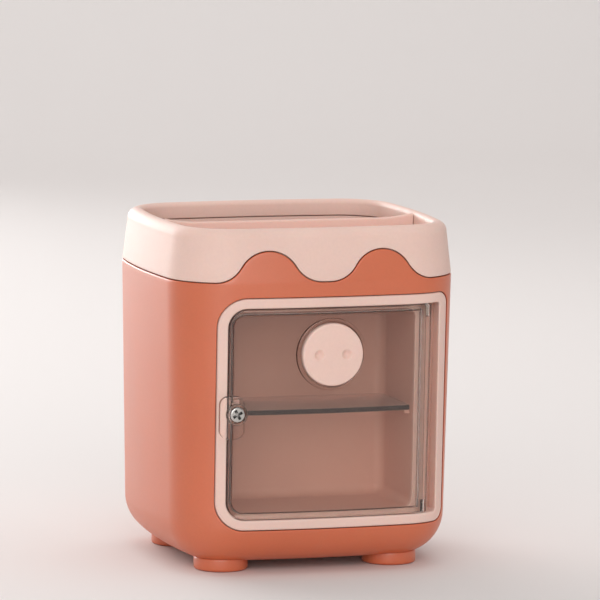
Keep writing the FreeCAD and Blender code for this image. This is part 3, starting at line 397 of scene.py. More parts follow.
def combine(piece, operation, tools, sharp=35):
    """Unite a piece with closed tools or cut them from it, and delete the tools."""
    for tool in tools:
        modifier = piece.modifiers.new(operation, "BOOLEAN")
        modifier.operation = operation
        modifier.solver = "MANIFOLD"
        modifier.object = tool
    depsgraph = bpy.context.evaluated_depsgraph_get()
    mesh = bpy.data.meshes.new_from_object(piece.evaluated_get(depsgraph))
    piece.modifiers.clear()
    piece.data = mesh
    for tool in tools:
        bpy.data.objects.remove(tool)
    bm = bmesh.new()
    bm.from_mesh(mesh)
    bmesh.ops.remove_doubles(bm, verts=bm.verts, dist=MERGE)
    bm.to_mesh(mesh)
    bm.free()
    smooth(piece, sharp)
    return piece


def tube(name, loops, first=None, last=None, sharp=35):
    """One piece from loops of points one behind the other, its ends closed round the given centres."""
    loops = list(loops)
    if first is not None:
        loops.insert(0, np.broadcast_to(first, loops[0].shape))
    if last is not None:
        loops.append(np.broadcast_to(last, loops[-1].shape))
    return make_piece(name, [(np.stack(loops), False, True)], sharp)


def quarter(steps, start=0, end=90):
    """Pairs (1 - cosine, 1 - sine) along a turn in degrees: how far a rounding draws in and rises."""
    turn = np.radians(np.linspace(start, end, steps))
    return np.stack([1 - np.cos(turn), 1 - np.sin(turn)], axis=-1)


def lathe(name, profile, place, axis, steps=64, sharp=35):
    """Closed turned solid: profile points (radius, distance along the axis) carried round the axis."""
    profile = np.asarray(profile, float)
    axis = np.asarray(axis, float) / np.linalg.norm(axis)
    side = np.cross(axis, UP if abs(axis[2]) < 0.9 else BACKWARD)
    side /= np.linalg.norm(side)
    turn = np.linspace(0, 2 * math.pi, steps, endpoint=False)[None, :, None]
    ring = np.cos(turn) * side + np.sin(turn) * np.cross(axis, side)
    grid = place + profile[:, 0, None, None] * ring + profile[:, 1, None, None] * axis
    return tube(name, grid, sharp=sharp)


def plug(radius, low, high, place, axis, steps=64):
    """Plain round bar that cuts a hole."""
    return lathe("plug", [(0, low), (radius, low), (radius, high), (0, high)], place, axis, steps)


def rounded(radius, low, high, soft, steps=6):
    """Lathe profile of a round bar with soft ends."""
    bend = soft * quarter(steps)
    first = np.array([radius, low]) + bend[:, ::-1] * [-1, 1]
    return np.concatenate([[[0, low]], first, np.array([radius, high]) - bend, [[0, high]]])


def soft_box(name, low, high, soft, steps=10):
    """Box with rounded edges: a small sphere, parted into eight corners that are moved out to the box's."""
    low, high = np.asarray(low, float), np.asarray(high, float)
    across = np.linspace(0, 2 * math.pi, 4 * steps, endpoint=False) + math.pi / 4 / steps
    up = np.linspace(-math.pi / 2, math.pi / 2, 2 * steps)
    up, across = np.meshgrid(up, across, indexing="ij")
    normal = np.stack([np.cos(up) * np.cos(across), np.cos(up) * np.sin(across), np.sin(up)], axis=-1)
    half = (high - low) / 2 - soft
    grid = (low + high) / 2 + np.sign(np.where(np.abs(normal) < 1e-9, 1e-9, normal)) * half + soft * normal
    return tube(name, grid, grid[0].mean(axis=0), grid[-1].mean(axis=0))


def rounded_sides(left, right, bottom, top, left_round, right_round, arc_steps=16, side_steps=(80, 44)):
    """Four runs of points (across, height) of a rounded rectangle, each from mid corner to mid corner.

    They go counterclockwise from the bottom. A run is half a corner arc, a straight side and half an arc.
    """
    corners = [
        (left + left_round, bottom + left_round, left_round, math.pi),
        (right - right_round, bottom + right_round, right_round, 1.5 * math.pi),
        (right - right_round, top - right_round, right_round, 0.0),
        (left + left_round, top - left_round, left_round, 0.5 * math.pi),
    ]
    half = arc_steps // 2 + 1
    runs = []
    for number in range(4):
        x, z, radius, start = corners[number]
        turn = start + np.linspace(math.pi / 4, math.pi / 2, half)
        leaving = np.stack([x + radius * np.cos(turn), z + radius * np.sin(turn)], axis=-1)
        x, z, radius, start = corners[(number + 1) % 4]
        turn = start + np.linspace(0, math.pi / 4, half)
        arriving = np.stack([x + radius * np.cos(turn), z + radius * np.sin(turn)], axis=-1)
        share = np.linspace(0, 1, side_steps[number % 2] + 1)[1:-1, None]
        runs.append(np.concatenate([leaving, leaving[-1] + (arriving[0] - leaving[-1]) * share, arriving]))
    return runs


def closed(runs):
    """Runs that follow each other as one closed loop."""
    return np.concatenate([run[:-1] for run in runs])


def share_along(run):
    """Share of a run's length at each of its points."""
    length = np.concatenate([[0], np.cumsum(np.linalg.norm(np.diff(run, axis=0), axis=1))])
    return length / length[-1]


def window_sides(grow, left=0.0, right=0.0, level=0.0):
    """Outline of the bezel, grown, or drawn in at its left, its right and its top and bottom."""
    return rounded_sides(
        BEZEL_LEFT - grow + left, BEZEL_RIGHT + grow - right,
        BEZEL_BOTTOM - grow + level, BEZEL_TOP + grow - level,
        max(BEZEL_LEFT_ROUND + grow - level, TIGHT), max(BEZEL_RIGHT_ROUND + grow - level, TIGHT),
    )


# Body shell: a ring of cells round the window, a grid round the back, a base and a floor, on both skins


SHELL_SOFT = 0.45
SHELL_LEFT_TURN = math.radians(62)
SHELL_RIGHT_TURN = math.radians(76)
SHELL_LEFT_RUN = -(FRONT_HALF + CORNER_RADIUS * (SHELL_LEFT_TURN - FRONT_TURN))
SHELL_RIGHT_RUN = FRONT_HALF + CORNER_RADIUS * (SHELL_RIGHT_TURN - FRONT_TURN)
SHELL_BASE_HEIGHT = 11.0
RING_ROWS = 26
BACK_RUNS = np.linspace(SHELL_RIGHT_RUN, PLAN_LENGTH + SHELL_LEFT_RUN, 240)
BASE_ROWS = 22


def shell_skin(depth, edge):
    """Patches of one skin of the shell, from its window edge and its wavy edge to the middle of the floor."""
    sides = window_sides(WINDOW_GAP + edge)
    base_climb = float(climb_of(np.array(SHELL_BASE_HEIGHT), 0.0))
    corners = [SHELL_LEFT_RUN, SHELL_RIGHT_RUN]
    outer = []
    for number, side in enumerate(window_sides(WINDOW_GAP + SHELL_SOFT)):
        share = share_along(side)
        if number == 0:
            runs = corners[0] + (corners[1] - corners[0]) * share
            climbs = np.full(len(share), base_climb)
        elif number == 2:
            runs, heights = wave_line(corners[1] + (corners[0] - corners[1]) * share, -SHELL_SOFT)
            climbs = climb_of(heights, depth)
        else:
            runs = np.full(len(share), corners[1] if number == 1 else corners[0])
            top = float(climb_of(np.array(PARTING - SHELL_SOFT), depth))
            share = share if number == 1 else 1 - share
            climbs = base_climb + (top - base_climb) * share
        outer.append(np.stack([runs, climbs], axis=-1))
    inner_loop = closed(sides)
    inset = shell_inset(inner_loop[:, 1], depth)
    inner = np.stack([run_of(inner_loop[:, 0], inset), climb_of(inner_loop[:, 1], depth)], axis=-1)
    weight = (np.linspace(0, 1, RING_ROWS) ** 1.5)[:, None, None]
    place = inner + (closed(outer) - inner) * weight
    ring = shell_point(place[..., 0], place[..., 1], depth)
    right, left = outer[1][:, 1], outer[3][::-1, 1]
    climbs = right[:, None] + (left - right)[:, None] * np.linspace(0, 1, len(BACK_RUNS))
    back = shell_point(BACK_RUNS[None, :], climbs, depth)
    base_runs = np.concatenate([outer[0][:-1, 0], BACK_RUNS[:-1]])
    base_climbs = np.linspace(0, base_climb, BASE_ROWS)[:, None]
    base = shell_point(base_runs[None, :], base_climbs, depth)
    middle = np.broadcast_to([0, 0, FOOT_HEIGHT + depth], base[:1].shape)
    return [(ring, False, True), (back, False, False), (np.concatenate([middle, base]), False, True)]


def shell_window():
    """Wall of the window with a rounded outer edge: outlines at growing depth."""
    steps = list(SHELL_SOFT * quarter(6, 90, 0))
    steps += [(0.0, depth) for depth in np.linspace(SHELL_SOFT, SHELL_WALL, 4)[1:]]
    return np.stack([on_shell(window_loop(WINDOW_GAP + grow), depth) for grow, depth in steps])


def shell_rim():
    """Upper edge of the shell along the wavy line, rounded on both sides."""
    side = share_along(window_sides(WINDOW_GAP + SHELL_SOFT)[2])
    front_runs = (SHELL_RIGHT_RUN + (SHELL_LEFT_RUN - SHELL_RIGHT_RUN) * side)[::-1]
    runs = np.concatenate([front_runs[:-1], BACK_RUNS[:-1]])
    outer = [(-rise, depth) for depth, rise in SHELL_SOFT * quarter(6)]
    inner = [(rise, SHELL_WALL - depth) for rise, depth in outer[::-1]]
    return np.stack([skin_loop(*wave_line(runs, rise), depth) for rise, depth in outer + inner])


POST_ACROSS = 16.98
CABINET_POST_ROWS = (-31.08, -13.04)
INSERT_POST_ROW = 23.98
POST_RADIUS = 3.6
POST_SOFT = 0.2
CUP_RADIUS = 5.0
CUP_TOP = FOOT_HEIGHT + 4.6
POST_BASE = CUP_TOP + FIT_GAP
BORE_DEPTH = 8.0
RECESS_TOP = FOOT_HEIGHT + 2.6
FOOT_TOP = FOOT_HEIGHT + 1.6
RECESS_RADIUS = 3.1
SCREW_HOLE = 1.7


def post_places():
    """Centres of the screw posts: four under the cabinet, two under the pen insert."""
    cabinet = [np.array([side * POST_ACROSS, row, 0.0]) for row in CABINET_POST_ROWS for side in (-1, 1)]
    insert = [np.array([side * POST_ACROSS, INSERT_POST_ROW, 0.0]) for side in (-1, 1)]
    return cabinet, insert


def posts_to(top, places):
    """Screw posts from their common base up to a height, and the bores that are cut in them afterwards."""
    posts = [lathe("post", rounded(POST_RADIUS, POST_BASE, top, POST_SOFT), place, UP) for place in places]
    bores = [plug(SCREW_RADIUS, POST_BASE - SINK, POST_BASE + BORE_DEPTH, place, UP, 32) for place in places]
    return posts, bores


def body_shell():
    """Terracotta tub with window, wavy edge, feet and screw cups."""
    patches = shell_skin(0.0, SHELL_SOFT) + shell_skin(SHELL_WALL, 0.0)
    patches += [(shell_window(), False, True), (shell_rim(), False, True)]
    shell = make_piece("body_shell_looks", patches)
    foot = rounded(FOOT_RADIUS, 0.0, FOOT_TOP, FOOT_ROUND, 10)
    feet = [
        lathe("foot", foot, np.array([x * FOOT_ACROSS, y * FOOT_ALONG, 0.0]), UP, 128)
        for x in (-1, 1) for y in (-1, 1)
    ]
    cabinet, insert = post_places()
    cup = rounded(CUP_RADIUS, FOOT_HEIGHT + SINK, CUP_TOP, EDGE)
    cups = [lathe("cup", cup, place, UP) for place in cabinet + insert]
    combine(shell, "UNION", feet + cups)
    holes = []
    for place in cabinet + insert:
        holes.append(plug(RECESS_RADIUS, -OVERCUT, RECESS_TOP, place, UP))
        holes.append(plug(SCREW_HOLE, 0.0, CUP_TOP + OVERCUT, place, UP, 32))
    return combine(shell, "DIFFERENCE", holes)


# Collar: one closed profile carried round the plan, its lower edge lifted along the wave


LIP_INSET = float(skin(LIP_START)) + LIP_OUTER + LIP_INNER
LIP_FOOT = OVERALL_HEIGHT - LIP_DROP
INSERT_WALL = 1.6
WAVY_RUN = 62.0


def collar_runs():
    """Runs round the plan, closer together along the wavy front."""
    front = np.linspace(-WAVY_RUN, WAVY_RUN, 280)
    back = np.linspace(WAVY_RUN, PLAN_LENGTH - WAVY_RUN, 300)[1:-1]
    return np.concatenate([front, back])


def top_collar():
    """Cream ring with a wavy lower edge, a rolled lip and a skirt behind the shell's wall."""
    soft = 0.4
    crest, hook, under = LIP_INSET - LIP_INNER, LIP_INSET - INSERT_WALL, LIP_OUTER - COLLAR_WALL
    lip_top = LIP_START + under
    runs = collar_runs()
    loops = []
    for draw, rise in soft * quarter(6, 90, 0):
        loops.append(skin_loop(*wave_line(runs, PARTING_GAP + rise), draw))
    low_runs, low_heights = wave_line(runs, PARTING_GAP + soft)
    for share in np.linspace(0, 1, 16)[1:]:
        heights = low_heights + (LIP_START - low_heights) * share
        loops.append(skin_loop(low_runs + (runs - low_runs) * share, heights, 0.0))
    lip = [(OVERALL_HEIGHT - rise, crest - LIP_OUTER + draw) for draw, rise in LIP_OUTER * quarter(14)[1:]]
    lip += [(OVERALL_HEIGHT - draw, LIP_INSET - rise) for draw, rise in LIP_INNER * quarter(10)[1:]]
    lip += [(LIP_FOOT + rise, LIP_INSET - draw) for draw, rise in soft * quarter(5)]
    lip += [(LIP_FOOT, hook), (lip_top, hook)]
    lip += [(lip_top - rise, crest - under + draw) for draw, rise in under * quarter(6, 90, 0)]
    loops += [plan_loop(runs, height, inset) for height, inset in lip]
    shoulder = PARTING + CREST_RISE + PARTING_GAP
    skirt = PARTING - SKIRT_DROP
    near = SHELL_WALL + FIT_GAP
    far = near + SKIRT_WALL
    inside = [(shoulder + COLLAR_WALL, COLLAR_WALL), (shoulder + COLLAR_WALL, far), (PARTING, far)]
    outside = [(PARTING, near), (shoulder, near), (shoulder, COLLAR_WALL)]
    loops += [skin_loop(runs, height, depth) for height, depth in inside]
    loops += [plan_loop(runs, skirt, far), plan_loop(runs, skirt, near)]
    loops += [skin_loop(runs, height, depth) for height, depth in outside]
    loops.append(skin_loop(*wave_line(runs, PARTING_GAP), COLLAR_WALL))
    return make_piece("top_collar_looks", [(np.stack(loops), True, True)])


# Pen insert: a tub less a deep rear pocket and a shallow front pocket, with a crowned divider


INSERT_TOP = LIP_FOOT - FIT_GAP
WELL_FLOOR = 17.0
WELL_ROUND = 9.0
TRAY_FLOOR = PARTING - 5.1
POCKET_SOFT = 2.0
TRAY_ROUND = 3.0
CROWN_FOOT = 127.0
SIDE_ARC_X = HALF_WIDTH - SIDE_BOW
SIDE_START = STARTS[2] - FRONT_HALF


def insert_tub():
    """Solid tub with the plan's outline, drafted walls and a rounded foot."""
    inset = LIP_INSET - INSERT_WALL
    runs = np.linspace(0, PLAN_LENGTH, 400, endpoint=False)
    levels = [(INSERT_TOP, inset), (PARTING, inset)]
    for height in np.linspace(PARTING, WELL_FLOOR + WELL_ROUND, 8)[1:]:
        levels.append((height, inset + float(skin(height))))
    side = levels[-1][1]
    levels += [(WELL_FLOOR + rise, side + draw) for draw, rise in WELL_ROUND * quarter(10)[1:]]
    loops = [plan_loop(runs, height, drawn) for height, drawn in levels]
    return tube("pen_insert_looks", loops, UP * INSERT_TOP, UP * WELL_FLOOR)


def pocket_loop(inset, height, divider, side):
    """Level of a pocket: along the divider, round a soft corner, round the plan and back."""
    centre_y = divider + side * POCKET_SOFT
    reach = SIDE_BOW - inset - POCKET_SOFT
    centre_x = SIDE_ARC_X + math.sqrt(reach ** 2 - centre_y ** 2)
    tangent = math.atan2(centre_y, centre_x - SIDE_ARC_X)
    turn = np.linspace(-side * math.pi / 2, tangent, 8)
    corner_x, corner_y = centre_x + POCKET_SOFT * np.cos(turn), centre_y + POCKET_SOFT * np.sin(turn)
    line = np.linspace(-centre_x, centre_x, 60)[1:-1]
    start = SIDE_START + SIDE_BOW * (tangent - ARCS[2, 3])
    end = PLAN_LENGTH - start if side > 0 else -start
    runs = np.linspace(start, end, 220)[1:-1]
    plan_x, plan_y = plan_xy(runs, inset)
    x = np.concatenate([line, corner_x, plan_x, -corner_x[::-1]])
    y = np.concatenate([np.full(len(line), divider), corner_y, plan_y, corner_y[::-1]])
    return np.stack([x, y, np.full(len(x), height)], axis=-1)


def pocket(divider, side, floor, foot_round):
    """Closed cutting solid of one pocket, with soft corners and a rounded foot."""
    levels = [(LIP_INSET, OVERALL_HEIGHT + LIP_OUTER, divider), (LIP_INSET, PARTING, divider)]
    for height in np.linspace(PARTING, floor + foot_round, 8)[1:]:
        levels.append((LIP_INSET + float(skin(height)), height, divider))
    drawn = levels[-1][0]
    for draw, rise in quarter(12)[1:]:
        line = divider + side * POCKET_SOFT * draw
        levels.append((drawn + foot_round * draw, floor + foot_round * rise, line))
    loops = [pocket_loop(inset, height, line, side) for inset, height, line in levels]
    centre = loops[-1].mean(axis=0)
    return tube("pocket", loops, centre + UP * (levels[0][1] - floor), centre)


def divider_crown():
    """Upper edge of the divider: level in the middle, climbing at both ends, rounded over."""
    middle = (DIVIDER_FRONT + DIVIDER_BACK) / 2
    end = SIDE_START + SIDE_BOW * (math.asin(middle / SIDE_BOW) - ARCS[2, 3])
    reach = plan_xy(end, LIP_INSET + FIT_GAP)[0]
    across = np.linspace(-reach, reach, 120)
    climb = np.clip((np.abs(across) - (reach - DIVIDER_RUN)) / DIVIDER_RUN, 0, 1) ** 2
    top = DIVIDER_TOP + DIVIDER_RISE * climb
    half = (DIVIDER_BACK - DIVIDER_FRONT) / 2 - HAIR
    turn = np.linspace(0, math.pi, 13)
    y = middle + np.concatenate([[half], half * np.cos(turn), [-half]])
    rise = np.concatenate([[0], half * np.sin(turn), [0]])
    low = np.concatenate([[1], np.zeros(13), [1]])
    z = (top[:, None] - half + rise) * (1 - low) + CROWN_FOOT * low
    grid = np.stack(np.broadcast_arrays(across[:, None], y, z), axis=-1)
    return tube("crown", grid, grid[0].mean(axis=0), grid[-1].mean(axis=0))


def pen_insert():
    """Cream moulding with the pen well, the tray and the divider."""
    insert = insert_tub()
    out = HALF_WIDTH + 2 * OVERCUT
    front = soft_box("front", (-out, -out, OVERCUT), (out, DIVIDER_FRONT, TRAY_FLOOR), POST_SOFT, 3)
    well = pocket(DIVIDER_BACK, 1, WELL_FLOOR + INSERT_WALL, WELL_ROUND - INSERT_WALL)
    tray = pocket(DIVIDER_FRONT, -1, TRAY_FLOOR + INSERT_WALL, TRAY_ROUND)
    combine(insert, "DIFFERENCE", [front, well, tray])
    posts, bores = posts_to(WELL_FLOOR + INSERT_WALL / 2, post_places()[1])
    combine(insert, "UNION", [divider_crown()] + posts)
    return combine(insert, "DIFFERENCE", bores)


# Bezel, cabinet and door: profiles carried round rounded windows, at depths behind the drafted face


LATCH_FRONT = float(face_point(LATCH_ACROSS, LATCH_HEIGHT, 0.0)[1]) - TAB_GAP - TAB_WALL
LATCH_PLACE = np.array([LATCH_ACROSS, LATCH_FRONT, LATCH_HEIGHT])
MAGNET_FRONT = LATCH_FRONT + HEAD_SINK + SCREW_LENGTH + MAGNET_GAP
MAGNET_PLACE = np.array([LATCH_ACROSS, MAGNET_FRONT, LATCH_HEIGHT])
HOLDER_BACK = MAGNET_FRONT + HOLDER_DEPTH + FIT_GAP


def window_loop(grow=0.0, *inward):
    """The bezel's outline as one closed loop."""
    return closed(window_sides(grow, *inward))


def opening_loop(shrink):
    """Closed outline of the bezel's inner edge, drawn in."""
    return window_loop(0.0, STRIPE_LEFT + shrink, STRIPE_RIGHT + shrink, STRIPE_LEVEL + shrink)


def cabinet_loop(grow):
    """Closed outline of the cabinet's inside, grown."""
    return closed(rounded_sides(
        CABINET_LEFT - grow, CABINET_RIGHT + grow, CABINET_BOTTOM - grow, CABINET_TOP + grow,
        CABINET_ROUND + grow, CABINET_ROUND + grow,
    ))


def on_face(loop, depth):
    """Loop of points (across, height) laid on the drafted face at a depth."""
    return face_point(loop[:, 0], loop[:, 1], depth)


def on_shell(loop, depth):
    """Loop of points (across, height) laid on the shell's skin at a depth, base rounding and all."""
    return front_point(loop[:, 0], loop[:, 1], shell_inset(loop[:, 1], depth))


def soft_edge(outline, start, end, soft, base=0.0, side=1, steps=6):
    """Loops on the face round a soft edge, between two turns: 0 at the side wall, 90 at the flat.

    outline(draw) gives the outline drawn in. The flat is at the base depth, and the wall goes to the given
    side of it.
    """
    return [on_face(outline(draw), base + side * rise) for draw, rise in soft * quarter(steps, start, end)]


def blend(first, second, shares, depth):
    """Loops on the face at a depth, at shares of the way from one outline to another."""
    return [on_face(first + (second - first) * share, depth) for share in shares]


def upright(loop, y):
    """Loop of points (across, height) in the plane at a place along the depth."""
    return np.stack(np.broadcast_arrays(loop[:, 0], y, loop[:, 1]), axis=-1)


def bezel_frame():
    """Cream frame: rounded face, jamb, back wall that stops the door, flange and magnet holder."""
    soft, fillet, inner_soft, play = 0.7, 0.5, 0.3, 0.02
    pins_low, pins_high = -3.0, 86.0
    back = BEZEL_DEPTH - BEZEL_BACK
    outer, flange = window_loop(), window_loop(FLANGE_REACH)
    shares = np.linspace(0, 1, 10)[1:-1]
    loops = [on_face(outer, BEZEL_DEPTH), on_face(outer, FLANGE_BACK), on_shell(flange, FLANGE_BACK)]
    loops += [on_shell(flange, FLANGE_FRONT), on_face(outer, FLANGE_FRONT)]
    loops += soft_edge(lambda draw: window_loop(-draw), 0, 90, soft)
    loops += blend(window_loop(-soft), opening_loop(-soft), shares, 0.0)
    loops += soft_edge(lambda draw: opening_loop(-draw), 90, 0, soft)
    loops += [on_face(opening_loop(0.0), depth) for depth in np.linspace(soft, back - fillet, 5)[1:]]
    loops += soft_edge(opening_loop, 0, 90, fillet, back, -1, 5)[1:]
    loops += blend(opening_loop(fillet), cabinet_loop(inner_soft), shares, back)
    loops += soft_edge(cabinet_loop, 90, 0, inner_soft, back)
    loops += blend(cabinet_loop(0.0), outer, np.linspace(0, 1, 12)[:-1], BEZEL_DEPTH)
    bezel = make_piece("bezel_frame_looks", [(np.stack(loops), True, True)])
    left = CABINET_LEFT - SINK
    holder_low = (left, MAGNET_FRONT, LATCH_HEIGHT - HOLDER_HALF_HEIGHT)
    holder_high = (left + HOLDER_WIDTH, MAGNET_FRONT + HOLDER_DEPTH, LATCH_HEIGHT + HOLDER_HALF_HEIGHT)
    combine(bezel, "UNION", [soft_box("holder", holder_low, holder_high, TIGHT)])
    seat = plug(MAGNET_RADIUS + PLAY, -OVERCUT, MAGNET_WALL, MAGNET_PLACE, BACKWARD)
    pins = plug(PIN_RADIUS + play, pins_low, pins_high, HINGE_POINT, HINGE_AXIS, 32)
    return combine(bezel, "DIFFERENCE", [seat, pins])


def cabinet_box():
    """Cream box, open in front, with rounded inside corners, ledges for the shelf and screw posts."""

    def deepened(grow, share, back):
        """Outline, moved a share of the way from the bezel's back to a back plane."""
        points = on_face(cabinet_loop(grow), BEZEL_DEPTH)
        points[:, 1] += (back - points[:, 1]) * share
        return points

    outer_back = CABINET_BACK + CABINET_WALL
    middle = np.array([0.0, 0.0, (CABINET_BOTTOM + CABINET_TOP) / 2])
    loops = [deepened(CABINET_WALL, share, outer_back) for share in np.linspace(1, 0, 6)]
    loops += [deepened(0.0, share, CABINET_BACK - CABINET_ROUND) for share in np.linspace(0, 1, 12)]
    for draw, rise in CABINET_ROUND * quarter(8)[1:]:
        loops.append(upright(cabinet_loop(-draw * ALMOST), CABINET_BACK - rise))
    box = tube("cabinet_box_looks", loops, middle + BACKWARD * outer_back, middle + BACKWARD * CABINET_BACK)
    ledges = []
    for across, inward in ((CABINET_LEFT, 1), (CABINET_RIGHT, -1)):
        left, right = sorted((across - inward * SINK, across + inward * LEDGE_REACH))
        low_corner = (left, -HALF_DEPTH + LEDGE_START, SHELF_LOW - LEDGE_WALL)
        ledges.append(soft_box("ledge", low_corner, (right, CABINET_BACK + SINK, SHELF_LOW), EDGE))
    posts, bores = posts_to(CABINET_BOTTOM - CABINET_WALL / 2, post_places()[0])
    combine(box, "UNION", ledges + posts)
    notch_half = HOLDER_HALF_HEIGHT + FIT_GAP
    notch_low = (CABINET_LEFT - 8.0, -HALF_DEPTH - 8.0, LATCH_HEIGHT - notch_half)
    notch = soft_box("notch", notch_low, (0.0, HOLDER_BACK, LATCH_HEIGHT + notch_half), EDGE)
    return combine(box, "DIFFERENCE", bores + [notch])


def door_loop(draw=0.0):
    """Closed outline of the door, drawn in."""
    return closed(rounded_sides(
        DOOR_LEFT + draw, HINGE_POINT[0] - draw * ALMOST,
        BEZEL_BOTTOM + STRIPE_LEVEL + DOOR_GAP + draw, DOOR_TOP - draw,
        max(BEZEL_LEFT_ROUND - STRIPE_LEVEL - DOOR_GAP - draw, TIGHT), max(HINGE_CORNER - draw, TIGHT),
    ))


def ring_loop(radius):
    """Circle round the button's centre with as many points as the door's outline, each facing its own."""
    loop = door_loop(0.0) - np.array([BUTTON_ACROSS, BUTTON_PLACE])
    angle = np.arctan2(loop[:, 1], loop[:, 0])
    return np.stack([BUTTON_ACROSS + radius * np.cos(angle), BUTTON_PLACE + radius * np.sin(angle)], axis=-1)


BUTTON_FACE = float(face_point(BUTTON_ACROSS, BUTTON_PLACE, DOOR_BACK)[1])
BUTTON_SEAT = BUTTON_FACE + DOOR_WALL - SEAT_WALL


def door_panel():
    """Clear curved panel with rim, button ring and seat, hinge barrel, latch tab and screw boss."""
    soft, ring_soft, fillet, bevel = 0.5, 0.55, 0.8, 0.35
    far = DOOR_BACK + DOOR_WALL
    rim_back = far + RETURN_DEPTH
    hole, well, bore_end = PEG_RADIUS + PLAY, BUTTON_RADIUS + RING_GAP, 9.0
    front = BUTTON_FACE - RING_HEIGHT
    shares = np.linspace(0, 1, 40)
    loops = blend(ring_loop(RING_RADIUS), door_loop(soft), shares ** 1.2, DOOR_BACK)
    loops += soft_edge(door_loop, 90, 0, soft, DOOR_BACK)[1:] + [on_face(door_loop(), rim_back - soft)]
    loops += soft_edge(door_loop, 0, 90, soft, rim_back, -1)[1:]
    loops += soft_edge(lambda draw: door_loop(RETURN_WALL - draw), 90, 0, soft, rim_back, -1, 5)
    loops += soft_edge(lambda draw: door_loop(RETURN_WALL + draw), 0, 90, fillet, far)
    loops += blend(door_loop(RETURN_WALL + fillet), ring_loop(hole), shares[1:], far)
    loops += [upright(ring_loop(hole), BUTTON_SEAT), upright(ring_loop(well), BUTTON_SEAT)]
    for draw, rise in ring_soft * quarter(6):
        loops.append(upright(ring_loop(well + draw), front + rise))
    for draw, rise in ring_soft * quarter(6, 90, 0)[1:]:
        loops.append(upright(ring_loop(RING_RADIUS - draw), front + rise))
    door = make_piece("door_panel_looks", [(np.stack(loops), True, True)], 50)
    barrel = lathe("barrel", rounded(BARREL_RADIUS, 0.0, BARREL_LENGTH, TIGHT), HINGE_POINT, HINGE_AXIS, 96)
    combine(door, "UNION", [barrel] + latch_tab(), 50)
    seat = [(0, -OVERCUT), (SEAT_MOUTH, -OVERCUT), (SEAT_MOUTH, -BOSS_PROUD), (SEAT_RADIUS, bevel - BOSS_PROUD)]
    seat += [(SEAT_RADIUS, HEAD_SINK), (0, HEAD_SINK)]
    cuts = [
        lathe("head_seat", seat, LATCH_PLACE, BACKWARD, 96),
        plug(SCREW_RADIUS, 0.0, bore_end, LATCH_PLACE, BACKWARD, 48),
        plug(PIN_RADIUS + PLAY, -SINK, PIN_SEAT_LENGTH, HINGE_POINT, HINGE_AXIS, 48),
        plug(PIN_RADIUS + PLAY, -SINK, PIN_SEAT_LENGTH, BARREL_TOP, -HINGE_AXIS, 48),
    ]
    return combine(door, "DIFFERENCE", cuts, 50)


def latch_tab():
    """Closed solids of the latch: plate over the bezel, block under it, boss and stem of the screw."""
    left = BEZEL_LEFT + TAB_INSET
    right = left + TAB_WIDTH
    low, high = LATCH_HEIGHT - TAB_BELOW, LATCH_HEIGHT + TAB_ABOVE
    near, far, soft, inset, half = -TAB_GAP - TAB_WALL, -TAB_GAP, 0.5, 0.3, 1.2

    def outline(draw, start=left, first_round=TAB_ROUND):
        """Rounded outline of the tab, drawn in."""
        return closed(rounded_sides(
            start + draw, right - draw, low + draw, high - draw,
            first_round - draw, TAB_ROUND - draw, 16, (24, 24),
        ))

    middle = np.array([[(left + right) / 2, (low + high) / 2]])
    loops = blend(middle, outline(soft), np.linspace(0.15, 0.85, 5), near)
    loops += soft_edge(outline, 90, 0, soft, near) + [on_face(outline(0.0), far)]
    plate = tube("plate", loops, on_face(middle, near), on_face(middle, far), 50)
    under = outline(inset, DOOR_LEFT - inset, TIGHT + inset)
    middle[0, 0] = (DOOR_LEFT + right) / 2
    loops = [on_face(under, -half), on_face(under, half)]
    block = tube("block", loops, on_face(middle, -half), on_face(middle, half), 50)
    head = lathe("head", rounded(BOSS_RADIUS, -BOSS_PROUD, TAB_WALL, 0.55), LATCH_PLACE, BACKWARD, 96)
    turn = np.linspace(0, 2 * math.pi, 96, endpoint=False)
    across = np.maximum(LATCH_ACROSS + STEM_RADIUS * np.cos(turn), DOOR_LEFT)
    loop = np.stack([across, LATCH_HEIGHT + STEM_RADIUS * np.sin(turn)], axis=-1)
    ends = [LATCH_PLACE + BACKWARD * STEM_START, LATCH_PLACE + BACKWARD * STEM_END]
    stem = tube("stem", [upright(loop, end[1]) for end in ends], *ends, sharp=50)
    return [plate, block, head, stem]


# Button, screws, pins, magnet and shelf


def polar_face(radius, soft, height, relief, low_profile, place, axis, rows, steps):
    """Points of a turned solid whose end face is a field of heights.

    relief(x, y) is pressed into the face, which has a soft edge; low_profile goes on from there to the axis.
    """
    profile = [(reach, height) for reach in np.linspace(0, radius - soft, rows)]
    profile += [(radius - rise, height - draw) for draw, rise in soft * quarter(10)[1:]]
    reach, level = np.array(profile + low_profile).T[..., None]
    angle = np.linspace(0, 2 * math.pi, steps, endpoint=False)
    x, y = reach * np.cos(angle), reach * np.sin(angle)
    z = level - np.where(np.arange(len(reach))[:, None] < rows, relief(x, y), 0.0)
    side = np.array([1.0, 0.0, 0.0])
    return place + x[..., None] * side + y[..., None] * np.cross(axis, side) + z[..., None] * axis


def dimple(x, y):
    """Two round dimples beside each other, with soft rims."""
    pressed = 0.0
    for across in (-DIMPLE_ACROSS, DIMPLE_ACROSS):
        share = np.clip(np.hypot(x - across, y) / DIMPLE_RADIUS, 0, 1) ** 2
        pressed = pressed + DIMPLE_DEPTH * (1 - share) ** 2 * (1 + 0.6 * share)
    return pressed


